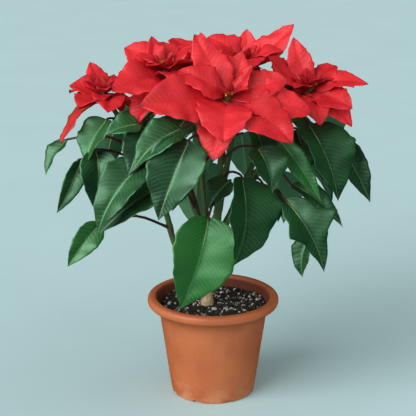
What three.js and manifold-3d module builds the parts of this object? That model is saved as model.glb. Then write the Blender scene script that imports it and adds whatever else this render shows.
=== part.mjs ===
// A poinsettia grown in a plastic flower pot: pot, potting mix, woody stem and seven leafy branches,
// each branch topped by a rosette of red bracts round a small cluster of flowers.
// Millimetres, +Z up, origin on the ground under the middle of the pot, the plant's front towards -Y.
import * as THREE from "three";
import { mergeVertices } from "three/addons/utils/BufferGeometryUtils.js";
import Module from "manifold-3d";

const wasm = await Module();
wasm.setup();

// Pot: a 160 mm moulded plastic pot with a turned-down lip, hollow underneath.
const POT_HEIGHT = 123;
const LIP_RADIUS = 80;
const LIP_DROP = 11;
const LIP_THICKNESS = 3;
const LIP_ROUND = 3;
const MOUTH_RADIUS = 69;
const SHOULDER_RADIUS = 67;
const SHOULDER_HEIGHT = 113;
const BASE_RADIUS = 51;
const FOOT_BEVEL = 1;
const WALL = 2;
const FLOOR = 4.5;
const POT_SEGMENTS = 28;
const DRAIN_COUNT = 6;
const DRAIN_RADIUS = 4.5;
const DRAIN_RING = 30;
const NOTCH_COUNT = 8;
const NOTCH_WIDTH = 10;
const NOTCH_HEIGHT = 3;
const NOTCH_DEPTH = 3;

// Potting mix: fills the pot to just under the shoulder, its top a little uneven.
const SOIL_TOP = 110;
const SOIL_SEGMENTS = 20;
const SOIL_RINGS = 4;
const SOIL_SWELL = 1.2;
const SOIL_RIPPLE = 0.8;
const GRAIN_COUNT = 16;
const GRAIN_RADIUS = 3.2;
const GRAIN_MARGIN = 6.5;
const GOLDEN_ANGLE = 137.5;

// Clearance between neighbours that touch on the real plant.
const GAP = 0.3;

// Stems: centre lines and end radii.
const TRUNK_PATH = [[-7, 0, 62], [-7, 0, 112], [-4, 0, 160], [2, 0, 205], [6, 0, 236]];
const TRUNK_RADII = [6.8, 4.6];
const BRANCH_RADII = [4.2, 2.9];
const HUB_RADIUS = 3.4;
const HUB_LENGTH = 13.5;
const HUB_DROP = 10.5;
const HUB_STEP = 0.85;
const STALK_RADIUS = 1.5;
const STALK_ARCH = 0.12;

// Blades: past a bare neck the outline is an x^rise (1 - x)^fall curve, x running from neck to tip.
// Each is drawn at its stations along x, a short blade at fewer of them.
const SHORT_BLADE = 60;
const LEAF = {
  thickness: 0.8,
  neck: 2,
  rise: 0.55,
  fall: 1.15,
  bow: 0.12,
  fold: 34,
  curl: 0.12,
  wave: 0.1,
  waves: 2.2,
  stations: [0, 0.08, 0.22, 0.4, 0.6, 0.81, 1],
  fewer: [0, 0.12, 0.34, 0.66, 1],
};
const BRACT = {
  thickness: 0.8,
  neck: 8,
  rise: 0.65,
  fall: 1,
  bow: 0.1,
  fold: 19,
  curl: 0.14,
  wave: 0.12,
  waves: 1.8,
  stations: [0, 0.18, 0.42, 0.7, 1],
  fewer: [0, 0.26, 0.62, 1],
};
const ROOT_HALF_WIDTH = 1.3;
const TIP_HALF_WIDTH = 0.5;
// A blade that rises more steeply than this curves the other way, like the side of a cup.
const STEEP = 0.6;
const CUP = -0.5;
// How far blades differ: roll and twist in degrees, bow as a share of itself, sway as a share of length.
const ROLL_RANGE = 16;
const TWIST_RANGE = 24;
const BOW_RANGE = 0.4;
const SWAY_RANGE = 0.06;
// A side lobe, where a leaf has one: its place along the blade and its reach either way.
const LOBE_PLACE = 0.42;
const LOBE_REACH = 0.14;

// Flowers: short knobs round a stub on the top of each hub.
const FLOWER_COUNT = 5;
const FLOWER_RADIUS = 1.7;
const FLOWER_STRETCH = 1.5;
const FLOWER_RING = 3;
const FLOWER_RISE = 5.5;
const STUB_RADIUS = 2.2;

// A leaf: where its stalk leaves the branch (0 root, 1 top), its blade's root and tip, and its width.
const leaf = (up, root, tip, width, roll = 0, lobe = 0) => ({ up, root, tip, width, roll, lobe });
// A bract: compass turn, droop below level, length and width.
const bract = (turn, droop, length, width, roll = 0) => ({ turn, droop, length, width, roll });

const BRANCHES = [
  {
    path: [[5, -3, 208], [7, -13, 242], [8, -29, 290], [12, -52, 345], [15, -70, 376]],
    leaves: [
      leaf(0.28, [-5, -88, 252], [-38, -106, 146], 77, -78),
      leaf(0.42, [31, -78, 296], [23, -104, 197], 76, -60),
      leaf(0.55, [48, -82, 330], [65, -108, 284], 46, 12),
      leaf(0.72, [-26, -95, 343], [-61, -124, 257], 64, -42),
      leaf(0.84, [-34, -84, 352], [-88, -110, 312], 42, -30),
      leaf(0.34, [20, -45, 281], [-6, -58, 250], 34, -30),
    ],
    bracts: [
      bract(252, 48, 74, 48),
      bract(323, 22, 94, 58, 20),
      bract(266, 22, 78, 62),
      bract(204, -2, 104, 60, -48),
      bract(356, 9, 94, 54, 38),
      bract(163, 14, 92, 44, -20),
      bract(7, -16, 70, 42, 38),
      bract(140, -54, 82, 42, -28),
      bract(68, -47, 62, 36),
      bract(104, -22, 66, 44),
      bract(180, -28, 62, 42, -30),
      bract(20, -50, 44, 26),
    ],
  },
  {
    path: [[-2, 2, 186], [-13, 3, 212], [-24, 3, 240], [-42, 5, 312], [-55, 5, 390]],
    leaves: [
      leaf(0.88, [-83, -60, 351], [-120, -76, 343], 32, -25),
      leaf(0.78, [-70, -60, 345], [-95, -90, 300], 42, -30),
      leaf(0.62, [-75, -75, 312], [-130, -104, 236], 50, -30),
      leaf(0.45, [-47, -62, 285], [-129, -87, 230], 50, -38),
      leaf(0.3, [-30, -16, 270], [-48, -34, 240], 28, -20),
      leaf(0.8, [-31, -40, 353], [-55, -60, 319], 42, -20),
    ],
    bracts: [
      bract(228, 3, 87, 52, -28),
      bract(241, 34, 84, 42, -10),
      bract(160, -29, 58, 46, -35),
      bract(294, 0, 60, 44),
      bract(94, -34, 52, 38),
      bract(63, -24, 58, 40),
      bract(330, -16, 60, 40),
      bract(200, -30, 40, 26, -20),
      bract(128, -56, 44, 26),
    ],
  },
  {
    path: [[-7, -2, 138], [-26, -7, 163], [-46, -10, 192], [-58, -10, 236], [-86, -8, 302], [-122, -5, 366]],
    leaves: [
      leaf(0.5, [-129, -62, 235], [-168, -80, 187], 30, -60),
      leaf(0.72, [-134, -46, 318], [-131, -70, 244], 46, -10),
      leaf(0.66, [-154, -22, 300], [-183, -40, 239], 24, -75),
      leaf(0.82, [-172, 10, 316], [-199, -5, 276], 28),
      leaf(0.9, [-121, -32, 351], [-146, -60, 303], 42, -10),
      leaf(0.75, [-116, 30, 326], [-136, 78, 238], 60),
      leaf(0.8, [-74, -30, 350], [-98, -52, 314], 42),
    ],
    bracts: [
      bract(222, 33, 80, 34, 20),
      bract(190, -20, 45, 40, -30),
      bract(240, 2, 56, 42, -10),
      bract(276, 6, 58, 40),
      bract(320, 12, 44, 30),
      bract(148, 4, 52, 38),
      bract(100, -6, 58, 38),
      bract(50, -10, 48, 32),
      bract(125, -46, 44, 28),
    ],
  },
  {
    path: [[7, 3, 228], [13, 15, 262], [26, 36, 330], [35, 54, 390]],
    leaves: [
      leaf(0.4, [10, 62, 320], [-6, 96, 250], 50),
      leaf(0.7, [85, 36, 342], [116, 16, 282], 50),
      leaf(0.72, [10, 14, 362], [-20, -16, 322], 46),
      leaf(0.62, [42, -8, 346], [61, -34, 288], 46),
    ],
    bracts: [
      bract(13, -39, 80, 41, 28),
      bract(334, -24, 56, 38, 20),
      bract(112, -18, 62, 42),
      bract(280, -9, 62, 44),
      bract(60, -4, 66, 40),
      bract(222, -12, 56, 44, -15),
      bract(160, -32, 54, 44, -15),
      bract(252, 6, 62, 42),
      bract(80, -54, 44, 26),
    ],
  },
  {
    path: [[6, 1, 196], [26, 2, 235], [60, 0, 290], [92, -4, 345], [108, -5, 372]],
    leaves: [
      leaf(0.7, [74, -60, 334], [122, -80, 266], 26, 50),
      leaf(0.8, [108, -36, 346], [142, -72, 264], 70, 10),
      leaf(0.85, [144, -12, 322], [184, -32, 250], 34, 50),
      leaf(0.5, [89, -50, 278], [148, -75, 234], 26, 30),
      leaf(0.36, [80, -74, 267], [126, -97, 187], 42, 42, 0.8),
      leaf(0.64, [96, -18, 336], [108, -38, 284], 38, 10),
      leaf(0.3, [111, -66, 221], [103, -76, 173], 26),
      leaf(0.42, [62, -28, 265], [76, -38, 228], 28),
    ],
    bracts: [
      bract(318, 8, 64, 42, 22),
      bract(320, 27, 69, 42, 12),
      bract(279, 23, 66, 34),
      bract(187, -42, 64, 46, -30),
      bract(352, -8, 68, 36, 28),
      bract(80, 6, 62, 40),
      bract(30, 4, 62, 38),
      bract(127, -61, 64, 30, -25),
      bract(40, -28, 46, 36),
      bract(250, -54, 34, 20),
    ],
  },
  {
    path: [[-3, 6, 172], [-9, 25, 222], [-18, 60, 300], [-24, 90, 380]],
    leaves: [
      leaf(0.3, [-20, 90, 262], [-22, 122, 165], 72),
      leaf(0.45, [-70, 80, 280], [-112, 110, 210], 62),
      leaf(0.55, [36, 105, 300], [46, 145, 225], 56),
      leaf(0.7, [-60, 110, 340], [-92, 160, 290], 50),
      leaf(0.85, [-20, 140, 355], [-16, 178, 288], 52),
      leaf(0.8, [-75, 60, 345], [-130, 66, 306], 44),
    ],
    bracts: [
      bract(95, 20, 88, 52),
      bract(140, 12, 84, 50),
      bract(185, 8, 74, 46),
      bract(50, 8, 78, 46),
      bract(225, -8, 58, 38),
      bract(118, -26, 62, 40),
      bract(350, -6, 50, 34),
      bract(75, -44, 50, 30),
      bract(300, -40, 44, 28),
    ],
  },
  {
    path: [[4, 6, 182], [25, 26, 228], [60, 60, 296], [90, 88, 356]],
    leaves: [
      leaf(0.35, [72, 88, 255], [92, 122, 175], 62),
      leaf(0.5, [96, 55, 282], [146, 52, 213], 52),
      leaf(0.66, [132, 62, 312], [174, 48, 250], 50),
      leaf(0.8, [125, 120, 330], [160, 155, 270], 52),
      leaf(0.85, [84, 140, 335], [86, 182, 280], 50),
    ],
    bracts: [
      bract(45, 18, 84, 48),
      bract(90, 14, 80, 48),
      bract(355, 10, 72, 44),
      bract(130, 2, 66, 44),
      bract(12, -16, 60, 38),
      bract(215, -10, 50, 34),
      bract(100, -30, 54, 36),
      bract(285, -14, 52, 34),
      bract(60, -40, 42, 22),
    ],
  },
];

const vec = (p) => new THREE.Vector3(...p);
const radians = THREE.MathUtils.degToRad;
// An even spread of numbers from 0 to 1, the same on every run.
const spread = (n, k) => (n * 0.618034 + k * 0.414214 + 0.27) % 1;

// A solid from a closed geometry.
function solid(geometry) {
  const bare = geometry.clone();
  bare.deleteAttribute("normal");
  bare.deleteAttribute("uv");
  const merged = mergeVertices(bare, 1e-4);
  return new wasm.Manifold(
    new wasm.Mesh({
      numProp: 3,
      vertProperties: merged.attributes.position.array,
      triVerts: new Uint32Array(merged.index.array),
    }),
  );
}

// A named mesh from a solid.
function piece(name, body, material) {
  const { numProp, vertProperties, triVerts } = body.getMesh();
  const geometry = new THREE.BufferGeometry();
  geometry.setAttribute("position", new THREE.BufferAttribute(vertProperties, numProp));
  geometry.setIndex(new THREE.BufferAttribute(triVerts, 1));
  geometry.computeVertexNormals();
  const mesh = new THREE.Mesh(geometry, material);
  mesh.name = name;
  return mesh;
}

const join = (solids) => solids.reduce((whole, next) => whole.add(next));

// A closed skin over rings of equal count, each running once round its section.
// The far half of each ring is split the other way, so the two faces of a thin blade are split alike.
function loft(rings) {
  const around = rings[0].length;
  const half = around / 2;
  const index = [];
  const at = (i, j) => i * around + (j % around);
  for (let i = 0; i < rings.length - 1; i++) {
    for (let j = 0; j < around; j++) {
      const [a, b, c, d] = [at(i, j), at(i, j + 1), at(i + 1, j + 1), at(i + 1, j)];
      if (j < half) index.push(a, b, c, a, c, d);
      else index.push(a, b, d, b, c, d);
    }
  }
  const last = rings.length - 1;
  for (let j = 0; j < half - 1; j++) {
    const corners = [j, j + 1, around - 2 - j, around - 1 - j];
    const [a, b, c, d] = corners.map((k) => at(last, k));
    index.push(a, b, c, a, c, d);
    const [e, f, g, h] = corners.map((k) => at(0, k));
    index.push(e, g, f, e, h, g);
  }
  const points = rings.flat().flatMap((p) => [p.x, p.y, p.z]);
  const geometry = new THREE.BufferGeometry();
  geometry.setAttribute("position", new THREE.Float32BufferAttribute(points, 3));
  geometry.setIndex(index);
  return solid(geometry);
}

// A round stem along a curve, its radius running evenly from one end to the other.
function stem(curve, radii, sides, spans) {
  const chord = curve.getPoint(1).sub(curve.getPoint(0)).normalize();
  const across = Math.abs(chord.z) > 0.9 ? vec([1, 0, 0]) : vec([0, 0, 1]);
  const rings = [];
  for (let i = 0; i <= spans; i++) {
    const t = i / spans;
    const along = curve.getTangent(t);
    const first = across.clone().addScaledVector(along, -across.dot(along)).normalize();
    const second = along.clone().cross(first);
    const radius = THREE.MathUtils.lerp(radii[0], radii[1], t);
    const ring = [];
    for (let j = 0; j < sides; j++) {
      const angle = (2 * Math.PI * j) / sides;
      const point = curve.getPoint(t);
      point.addScaledVector(first, radius * Math.cos(angle));
      point.addScaledVector(second, radius * Math.sin(angle));
      ring.push(point);
    }
    rings.push(ring);
  }
  return loft(rings);
}

const smooth = (path) => new THREE.CatmullRomCurve3(path.map(vec), false, "catmullrom", 0.5);

// Half the blade's width at x.
function halfWidth(shape, width, lobe, x) {
  const peak = shape.rise / (shape.rise + shape.fall);
  const curve = (place) => place ** shape.rise * (1 - place) ** shape.fall;
  const tooth = 1 + lobe * Math.max(0, 1 - Math.abs(x - LOBE_PLACE) / LOBE_REACH);
  const least = THREE.MathUtils.lerp(ROOT_HALF_WIDTH, TIP_HALF_WIDTH, x);
  return Math.max(least, ((width / 2) * tooth * curve(x)) / curve(peak));
}

// The rings of a folded, arched and waved blade, from the foot of its neck along a chord.
function blade(shape, root, chord, width, roll, lobe, seed) {
  const length = chord.length();
  const ahead = chord.clone().normalize();
  const level = Math.hypot(ahead.x, ahead.y);
  const vary = (k) => spread(seed, k) - 0.5;
  const up = new THREE.Vector3((-ahead.z * ahead.x) / level, (-ahead.z * ahead.y) / level, level);
  up.applyAxisAngle(ahead, radians(roll + ROLL_RANGE * vary(1)));
  const left = up.clone().cross(ahead);
  const cup = ahead.z > STEEP ? CUP : 1;
  const bow = length * shape.bow * cup * (1 + BOW_RANGE * vary(2));
  const sway = length * SWAY_RANGE * vary(3);
  const twist = radians(TWIST_RANGE * vary(4));
  const fold = Math.sin(radians(shape.fold));
  const neck = shape.neck / length;
  const stations = length < SHORT_BLADE ? shape.fewer : shape.stations;
  return [-neck / (1 - neck), ...stations].map((x) => {
    const t = neck + (1 - neck) * x;
    const arch = 4 * t * (1 - t);
    const slope = 4 * (1 - 2 * t);
    const middle = root.clone().addScaledVector(ahead, length * t);
    middle.addScaledVector(up, bow * arch).addScaledVector(left, sway * arch);
    const along = ahead.clone().multiplyScalar(length);
    along.addScaledVector(up, bow * slope).addScaledVector(left, sway * slope).normalize();
    const normal = up.clone().addScaledVector(along, -up.dot(along)).normalize();
    normal.applyAxisAngle(along, twist * t);
    const side = normal.clone().cross(along);
    const half = halfWidth(shape, width, lobe, Math.max(0, x));
    const top = [1, 0, -1].map((u) => {
      const ripple = Math.sin(2 * Math.PI * (shape.waves * t + spread(seed, 5 + u)));
      const lift = half * (fold * Math.abs(u) - shape.curl * u * u + shape.wave * u * u * ripple);
      return middle.clone().addScaledVector(side, half * u).addScaledVector(normal, lift);
    });
    const bottom = top.map((p) => p.clone().addScaledVector(normal, -shape.thickness)).reverse();
    return [...top, ...bottom];
  });
}

// Six points round a stalk, in the same order as a blade's ring.
function stalkRing(centre, along, lift) {
  const up = lift.clone().addScaledVector(along, -lift.dot(along)).normalize();
  const left = up.clone().cross(along);
  return [30, 90, 150, 210, 270, 330].map((angle) => {
    const point = centre.clone().addScaledVector(left, STALK_RADIUS * Math.cos(radians(angle)));
    return point.addScaledVector(up, STALK_RADIUS * Math.sin(radians(angle)));
  });
}

// A leaf in one skin: its stalk arches from the branch and runs on into the blade.
function leafOn(curve, { up, root, tip, width, roll, lobe }, seed) {
  const from = curve.getPoint(up);
  const to = vec(root);
  const rings = blade(LEAF, to, vec(tip).sub(to), width, roll, lobe, seed);
  const lift = rings[0][1].clone().sub(rings[0][4]);
  const crest = from.clone().lerp(to, 0.5);
  crest.z += STALK_ARCH * from.distanceTo(to);
  const first = crest.clone().sub(from).normalize();
  const second = to.clone().sub(crest).normalize();
  return loft([
    stalkRing(from, first, lift),
    stalkRing(crest, first.clone().add(second).normalize(), lift),
    ...rings.slice(1),
  ]);
}

// A bract rooted in the hub, a little below its top.
function bractOn(hub, axis, { turn, droop, length, width, roll }, drop, seed) {
  const heading = vec([Math.cos(radians(turn)), Math.sin(radians(turn)), 0]);
  const root = hub.clone().addScaledVector(axis, -drop).addScaledVector(heading, HUB_RADIUS / 4);
  const chord = heading.multiplyScalar(Math.cos(radians(droop)));
  chord.z = -Math.sin(radians(droop));
  return loft(blade(BRACT, root, chord.multiplyScalar(length), width, roll, 0, seed));
}

// The pot: a turned wall and lip, with holes through its floor and notches round its foot.
function pot() {
  const lipInside = LIP_RADIUS - WALL;
  const round = LIP_ROUND * (1 - Math.SQRT1_2);
  const profile = [
    [0, 0],
    [BASE_RADIUS - FOOT_BEVEL, 0],
    [BASE_RADIUS, FOOT_BEVEL],
    [SHOULDER_RADIUS, SHOULDER_HEIGHT],
    [MOUTH_RADIUS + WALL, POT_HEIGHT - LIP_THICKNESS],
    [lipInside - LIP_ROUND / 2, POT_HEIGHT - LIP_THICKNESS],
    [lipInside, POT_HEIGHT - LIP_DROP],
    [LIP_RADIUS, POT_HEIGHT - LIP_DROP],
    [LIP_RADIUS, POT_HEIGHT - LIP_ROUND],
    [LIP_RADIUS - round, POT_HEIGHT - round],
    [LIP_RADIUS - LIP_ROUND, POT_HEIGHT],
    [MOUTH_RADIUS + LIP_ROUND / 2, POT_HEIGHT],
    [MOUTH_RADIUS, POT_HEIGHT - LIP_ROUND / 2],
    [SHOULDER_RADIUS - WALL, SHOULDER_HEIGHT],
    [BASE_RADIUS - WALL, FLOOR],
    [0, FLOOR],
  ];
  const shell = new THREE.LatheGeometry(profile.map(([r, z]) => new THREE.Vector2(r, z)), POT_SEGMENTS);
  shell.rotateX(Math.PI / 2);
  let body = solid(shell);
  for (let i = 0; i < DRAIN_COUNT; i++) {
    const hole = new THREE.CylinderGeometry(DRAIN_RADIUS, DRAIN_RADIUS, 4 * FLOOR, 6);
    hole.rotateX(Math.PI / 2).translate(DRAIN_RING, 0, 0);
    hole.rotateZ((2 * Math.PI * i) / DRAIN_COUNT);
    body = body.subtract(solid(hole));
  }
  for (let i = 0; i < NOTCH_COUNT; i++) {
    const notch = new THREE.BoxGeometry(2 * NOTCH_DEPTH, NOTCH_WIDTH, 2 * NOTCH_HEIGHT);
    notch.translate(BASE_RADIUS, 0, 0);
    notch.rotateZ((2 * Math.PI * (i + 0.5)) / NOTCH_COUNT);
    body = body.subtract(solid(notch));
  }
  return body;
}

// The mix: a tapered fill with an uneven top, coarse grains half sunk in it and a hole for the stem.
function soil() {
  const wallRadius = (z) => {
    const t = (z - FLOOR) / (SHOULDER_HEIGHT - FLOOR);
    return THREE.MathUtils.lerp(BASE_RADIUS, SHOULDER_RADIUS, t) - WALL - 2 * GAP;
  };
  const ring = (radius, height) => {
    const points = [];
    for (let j = 0; j < SOIL_SEGMENTS; j++) {
      const angle = (2 * Math.PI * (j + 0.5)) / SOIL_SEGMENTS;
      points.push(vec([radius * Math.cos(angle), radius * Math.sin(angle), height(angle)]));
    }
    return points;
  };
  const flat = (z) => () => z;
  const rough = (k) => (angle) =>
    SOIL_TOP + SOIL_SWELL * Math.sin(3 * angle + 2 * k) + SOIL_RIPPLE * Math.cos(5 * angle - k);
  const full = wallRadius(SOIL_TOP);
  const rings = [ring(wallRadius(FLOOR), flat(FLOOR + GAP))];
  for (let k = 0; k < SOIL_RINGS; k++) {
    rings.push(ring(full * (1 - k / SOIL_RINGS), rough(k)));
  }
  let body = loft(rings);
  for (let k = 0; k < GRAIN_COUNT; k++) {
    const radius = (full - GRAIN_MARGIN) * Math.sqrt((k + 0.5) / GRAIN_COUNT);
    const angle = radians(GOLDEN_ANGLE) * k;
    const grain = new THREE.OctahedronGeometry(GRAIN_RADIUS * (0.7 + 0.7 * spread(k, 1)), 0);
    grain.rotateX(k).translate(radius * Math.cos(angle), radius * Math.sin(angle), SOIL_TOP);
    body = body.add(solid(grain));
  }
  const [x, y, foot] = TRUNK_PATH[0];
  const hole = new THREE.CylinderGeometry(TRUNK_RADII[0] + GAP, TRUNK_RADII[0] + GAP, SOIL_TOP, 12);
  hole.rotateX(Math.PI / 2).translate(x, y, foot - GAP + SOIL_TOP / 2);
  return body.subtract(solid(hole));
}

// A cluster of flowers standing on the origin.
function flowers(seed) {
  const height = FLOWER_RISE + FLOWER_RADIUS;
  const stub = new THREE.CylinderGeometry(STUB_RADIUS, STUB_RADIUS, height, FLOWER_COUNT);
  stub.rotateX(Math.PI / 2).translate(0, 0, height / 2);
  let body = solid(stub);
  for (let k = 0; k < FLOWER_COUNT; k++) {
    const knob = new THREE.OctahedronGeometry(FLOWER_RADIUS, 0);
    knob.rotateZ(Math.PI / 4).scale(1, 1, FLOWER_STRETCH);
    knob.translate(FLOWER_RING, 0, FLOWER_RISE + FLOWER_RADIUS * spread(seed, k));
    knob.rotateZ((2 * Math.PI * (k + 0.3 * seed)) / FLOWER_COUNT);
    body = body.add(solid(knob));
  }
  return body;
}

const plastic = new THREE.MeshStandardMaterial({ color: 0xc8683c, roughness: 0.6, metalness: 0 });
const mix = new THREE.MeshStandardMaterial({ color: 0x241d18, roughness: 0.95, metalness: 0 });
const bark = new THREE.MeshStandardMaterial({ color: 0x8a7a55, roughness: 0.8, metalness: 0 });
const foliage = new THREE.MeshStandardMaterial({ color: 0x1c5a30, roughness: 0.5, metalness: 0 });
const scarlet = new THREE.MeshStandardMaterial({ color: 0xd8141e, roughness: 0.5, metalness: 0 });
const blossom = new THREE.MeshStandardMaterial({ color: 0xb9b84a, roughness: 0.6, metalness: 0 });

const trunkCurve = smooth(TRUNK_PATH);
const trunk = stem(trunkCurve, TRUNK_RADII, 8, 10);
const socket = stem(trunkCurve, TRUNK_RADII.map((r) => r + GAP), 8, 10);

const plant = new THREE.Group();
plant.add(piece("flower_pot", pot(), plastic.clone()));
plant.add(piece("potting_soil", soil(), mix.clone()));
plant.add(piece("main_stem", trunk, bark.clone()));
BRANCHES.forEach(({ path, leaves, bracts }, i) => {
  const number = i + 1;
  const curve = smooth(path);
  const axis = curve.getTangent(1);
  const crown = curve.getPoint(1).addScaledVector(axis, GAP);
  const hub = crown.clone().addScaledVector(axis, HUB_LENGTH);
  const wood = stem(curve, BRANCH_RADII, 6, 8);
  const green = join([wood, ...leaves.map((spec, k) => leafOn(curve, spec, 10 * number + k))]);
  const core = stem(new THREE.LineCurve3(crown, hub), [BRANCH_RADII[1], HUB_RADIUS], 6, 1);
  const red = join([
    core,
    ...bracts.map((spec, k) => bractOn(hub, axis, spec, HUB_DROP - HUB_STEP * k, 10 * number + k + 5)),
  ]);
  const cluster = piece(`flower_cluster_${number}`, flowers(number), blossom.clone());
  cluster.position.copy(hub).addScaledVector(axis, GAP);
  cluster.quaternion.setFromUnitVectors(vec([0, 0, 1]), axis);
  plant.add(piece(`leafy_branch_${number}`, green.subtract(socket), foliage.clone()));
  plant.add(piece(`bract_rosette_${number}`, red, scarlet.clone()));
  plant.add(cluster);
});

export default plant;
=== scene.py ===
"""A poinsettia in a plastic flower pot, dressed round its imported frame.

Metres, +Z up, origin on the ground under the middle of the pot, the plant's front towards -Y.
Each sub-part of the frame is replaced by a finer piece that keeps its place and form.
"""

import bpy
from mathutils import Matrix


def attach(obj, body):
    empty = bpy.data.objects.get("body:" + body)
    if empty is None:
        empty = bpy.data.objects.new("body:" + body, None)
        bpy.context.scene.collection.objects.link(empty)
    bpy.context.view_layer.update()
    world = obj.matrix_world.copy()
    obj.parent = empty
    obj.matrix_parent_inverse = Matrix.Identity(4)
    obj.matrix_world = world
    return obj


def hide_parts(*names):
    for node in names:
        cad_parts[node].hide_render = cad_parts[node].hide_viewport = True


bl_info = {
    "name": "Potted Poinsettia",
    "version": (1, 0, 0),
    "blender": (4, 5, 0),
    "location": "3D View > Sidebar > Poinsettia",
    "description": "Builds a poinsettia in its flower pot: pot, mix, stems, leaves, bracts and flowers",
    "category": "Object",
}

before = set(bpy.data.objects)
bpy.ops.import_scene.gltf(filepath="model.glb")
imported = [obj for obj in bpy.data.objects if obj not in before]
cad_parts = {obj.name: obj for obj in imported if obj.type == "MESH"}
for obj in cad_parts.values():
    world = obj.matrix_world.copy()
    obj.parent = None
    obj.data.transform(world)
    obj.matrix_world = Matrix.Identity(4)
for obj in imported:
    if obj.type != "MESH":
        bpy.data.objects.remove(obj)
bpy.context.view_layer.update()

import math
from collections import namedtuple

import bmesh
import bpy
import numpy as np
from bpy.props import FloatProperty, FloatVectorProperty, IntProperty, PointerProperty
from bpy.types import Operator, Panel, PropertyGroup
from mathutils import Matrix, Vector, noise

DETAIL = 1.0

# Pot, as in the part: radii and heights of the turned wall and its lip.
POT_HEIGHT = 0.123
LIP_RADIUS = 0.08
LIP_DROP = 0.011
LIP_ROUND = 0.0045
# The wall flares out to the lip on a hollow arc of this radius, between these angles.
LIP_FLARE = 0.0231
FLARE_START = 165
FLARE_END = 115
MOUTH_RADIUS = 0.069
# The upper inner wall, which takes the painted shade, lies above the cone whose height is twice its radius
# less this, and the outer wall below it.
INNER_CONE = 0.0266
SHOULDER_RADIUS = 0.067
SHOULDER_HEIGHT = 0.113
BASE_RADIUS = 0.051
WALL = 0.002
FLOOR = 0.0045
# Roundings of the foot, of the mouth's inner edge and of the corner between the inner wall and the floor.
FOOT_ROUND = 0.0012
MOUTH_ROUND = 0.003
CORNER_ROUND = 0.002
# How far the inner wall steps outwards just above that corner and just under the mouth.
WALL_STEP = 0.0006
DRAIN_COUNT = 6
DRAIN_RADIUS = 0.0045
DRAIN_RING = 0.03
NOTCH_COUNT = 8
NOTCH_WIDTH = 0.01
NOTCH_HEIGHT = 0.003
NOTCH_DEPTH = 0.003

# Potting mix: its level and how far it swells.
SOIL_TOP = 0.11
SOIL_SWELL = 0.0012
SOIL_RIPPLE = 0.0008
SOIL_CLEARANCE = 0.0003
# Lumps in its top: how high they stand, and how many there are to a metre.
SOIL_LUMP = 0.0018
SOIL_LUMPS = 160
# The swell fades within this radius of the middle.
SOIL_CALM = 0.03
GOLDEN_ANGLE = 137.5

# Stems: centre lines and end radii.
TRUNK_PATH = [(-0.007, 0, 0.062), (-0.007, 0, 0.112), (-0.004, 0, 0.16), (0.002, 0, 0.205), (0.006, 0, 0.236)]
TRUNK_RADII = (0.0068, 0.0046)
BRANCH_RADII = (0.0042, 0.0029)
GAP = 0.0003
HUB_RADIUS = 0.0034
HUB_LENGTH = 0.0135
HUB_DROP = 0.0105
HUB_STEP = 0.00085
# Flowers lean outwards by up to this angle in radians.
FLOWER_LEAN = 0.45
STALK_RADIUS = 0.0015
STALK_ARCH = 0.12
BRACT_STALK_RADIUS = 0.0011
# Lumps in a stem's skin are about this long.
LUMP_SIZE = 0.006
# Girths swell by a share within a reach: at the foot of the stem, at its leaf scars' heights and, with the
# reach as a share of the branch, where each stalk leaves a branch.
FOOT_SWELL = (0.24, 0.009)
SCAR_SWELL = (0.09, 0.0022)
SCARS = (0.135, 0.152, 0.171, 0.188, 0.206, 0.222)
JOINT_SWELL = (0.16, 0.018)
# Girth of a stalk against its radius at each knot, from the branch to the end of the rib under the blade.
LEAF_TAPER = (1.7, 1.15, 1.0, 0.9, 0.6, 0.48, 0.36, 0.25, 0.12)
BRACT_TAPER = (1.25, 1.0, 0.6, 0.42, 0.28, 0.12)
# Where the ribs' knots lie along a blade.
LEAF_RIB = (0.12, 0.3, 0.5, 0.7, 0.9)
BRACT_RIB = (0.0, 0.2, 0.45, 0.7, 0.92)

# Blades: past a bare neck the outline is an x^rise (1 - x)^fall curve, x running from neck to tip.
Shape = namedtuple("Shape", "thickness neck rise fall bow fold curl wave waves ruffle crumple")
LEAF = Shape(0.0006, 0.002, 0.55, 1.15, 0.12, 36, 0.12, 0.1, 2.2, 0.02, 0.0007)
BRACT = Shape(0.0005, 0.004, 0.65, 0.9, 0.1, 19, 0.14, 0.12, 1.8, 0.034, 0.0009)
INNER_BRACT = BRACT._replace(neck=0.002, fold=24)
UNDER_BRACT = BRACT._replace(neck=0.0005, rise=0.32)
ROOT_HALF_WIDTH = 0.0013
TIP_HALF_WIDTH = 0.00025
# A blade that rises more steeply than this curves the other way, like the side of a cup.
STEEP = 0.6
CUP = -0.5
# How far blades differ: roll and twist in degrees, bow as a share of itself, sway as a share of length.
ROLL_RANGE = 16
TWIST_RANGE = 24
BOW_RANGE = 0.4
SWAY_RANGE = 0.06
# A side lobe, where a leaf has one: its place along the blade and its reach either way.
LOBE_PLACE = 0.42
LOBE_REACH = 0.14
# The fold at the midrib is rounded over this share of the half width.
FOLD_ROUND = 0.06
# A blade's mesh: distance between its rows and between its columns, the fewest and most rows, and of columns
# each side of the midrib, and the share by which rows crowd towards both ends.
ROW_STEP = 0.0013
COLUMN_STEP = 0.0024
ROW_LIMITS = (16, 76)
COLUMN_LIMITS = (4, 11)
CROWDING = 0.45
# Waves along a blade's rim: how many in its length, and how many of its finest to each broad one.
RIM_WAVES = (5.3, 9.1)
FRILL_WAVES = 3.1
# Dents in the tissue: their lengths along a blade and how far they turn across it.
DENT_LENGTHS = (0.0075, 0.0043)
DENT_TURNS = (2.2, 3.1)
# The second wave of each such pair is this strong against the first.
SECOND_WAVE = 0.6
# Quilting fades this near the midrib, and where the blade is narrower than this.
RIB_CALM = 0.004
NARROW = 0.01
# How much thinner a blade is at its rim, and how deep its midrib lies under it.
RIM_THINNING = 0.45
RIB_SINK = 0.0001

# A leaf: where its stalk leaves the branch (0 root, 1 top), its blade's root and tip, its width, its roll
# about its own length in degrees and how far a side lobe stands out.
Leaf = namedtuple("Leaf", "up root tip width roll lobe", defaults=(0, 0))
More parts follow.
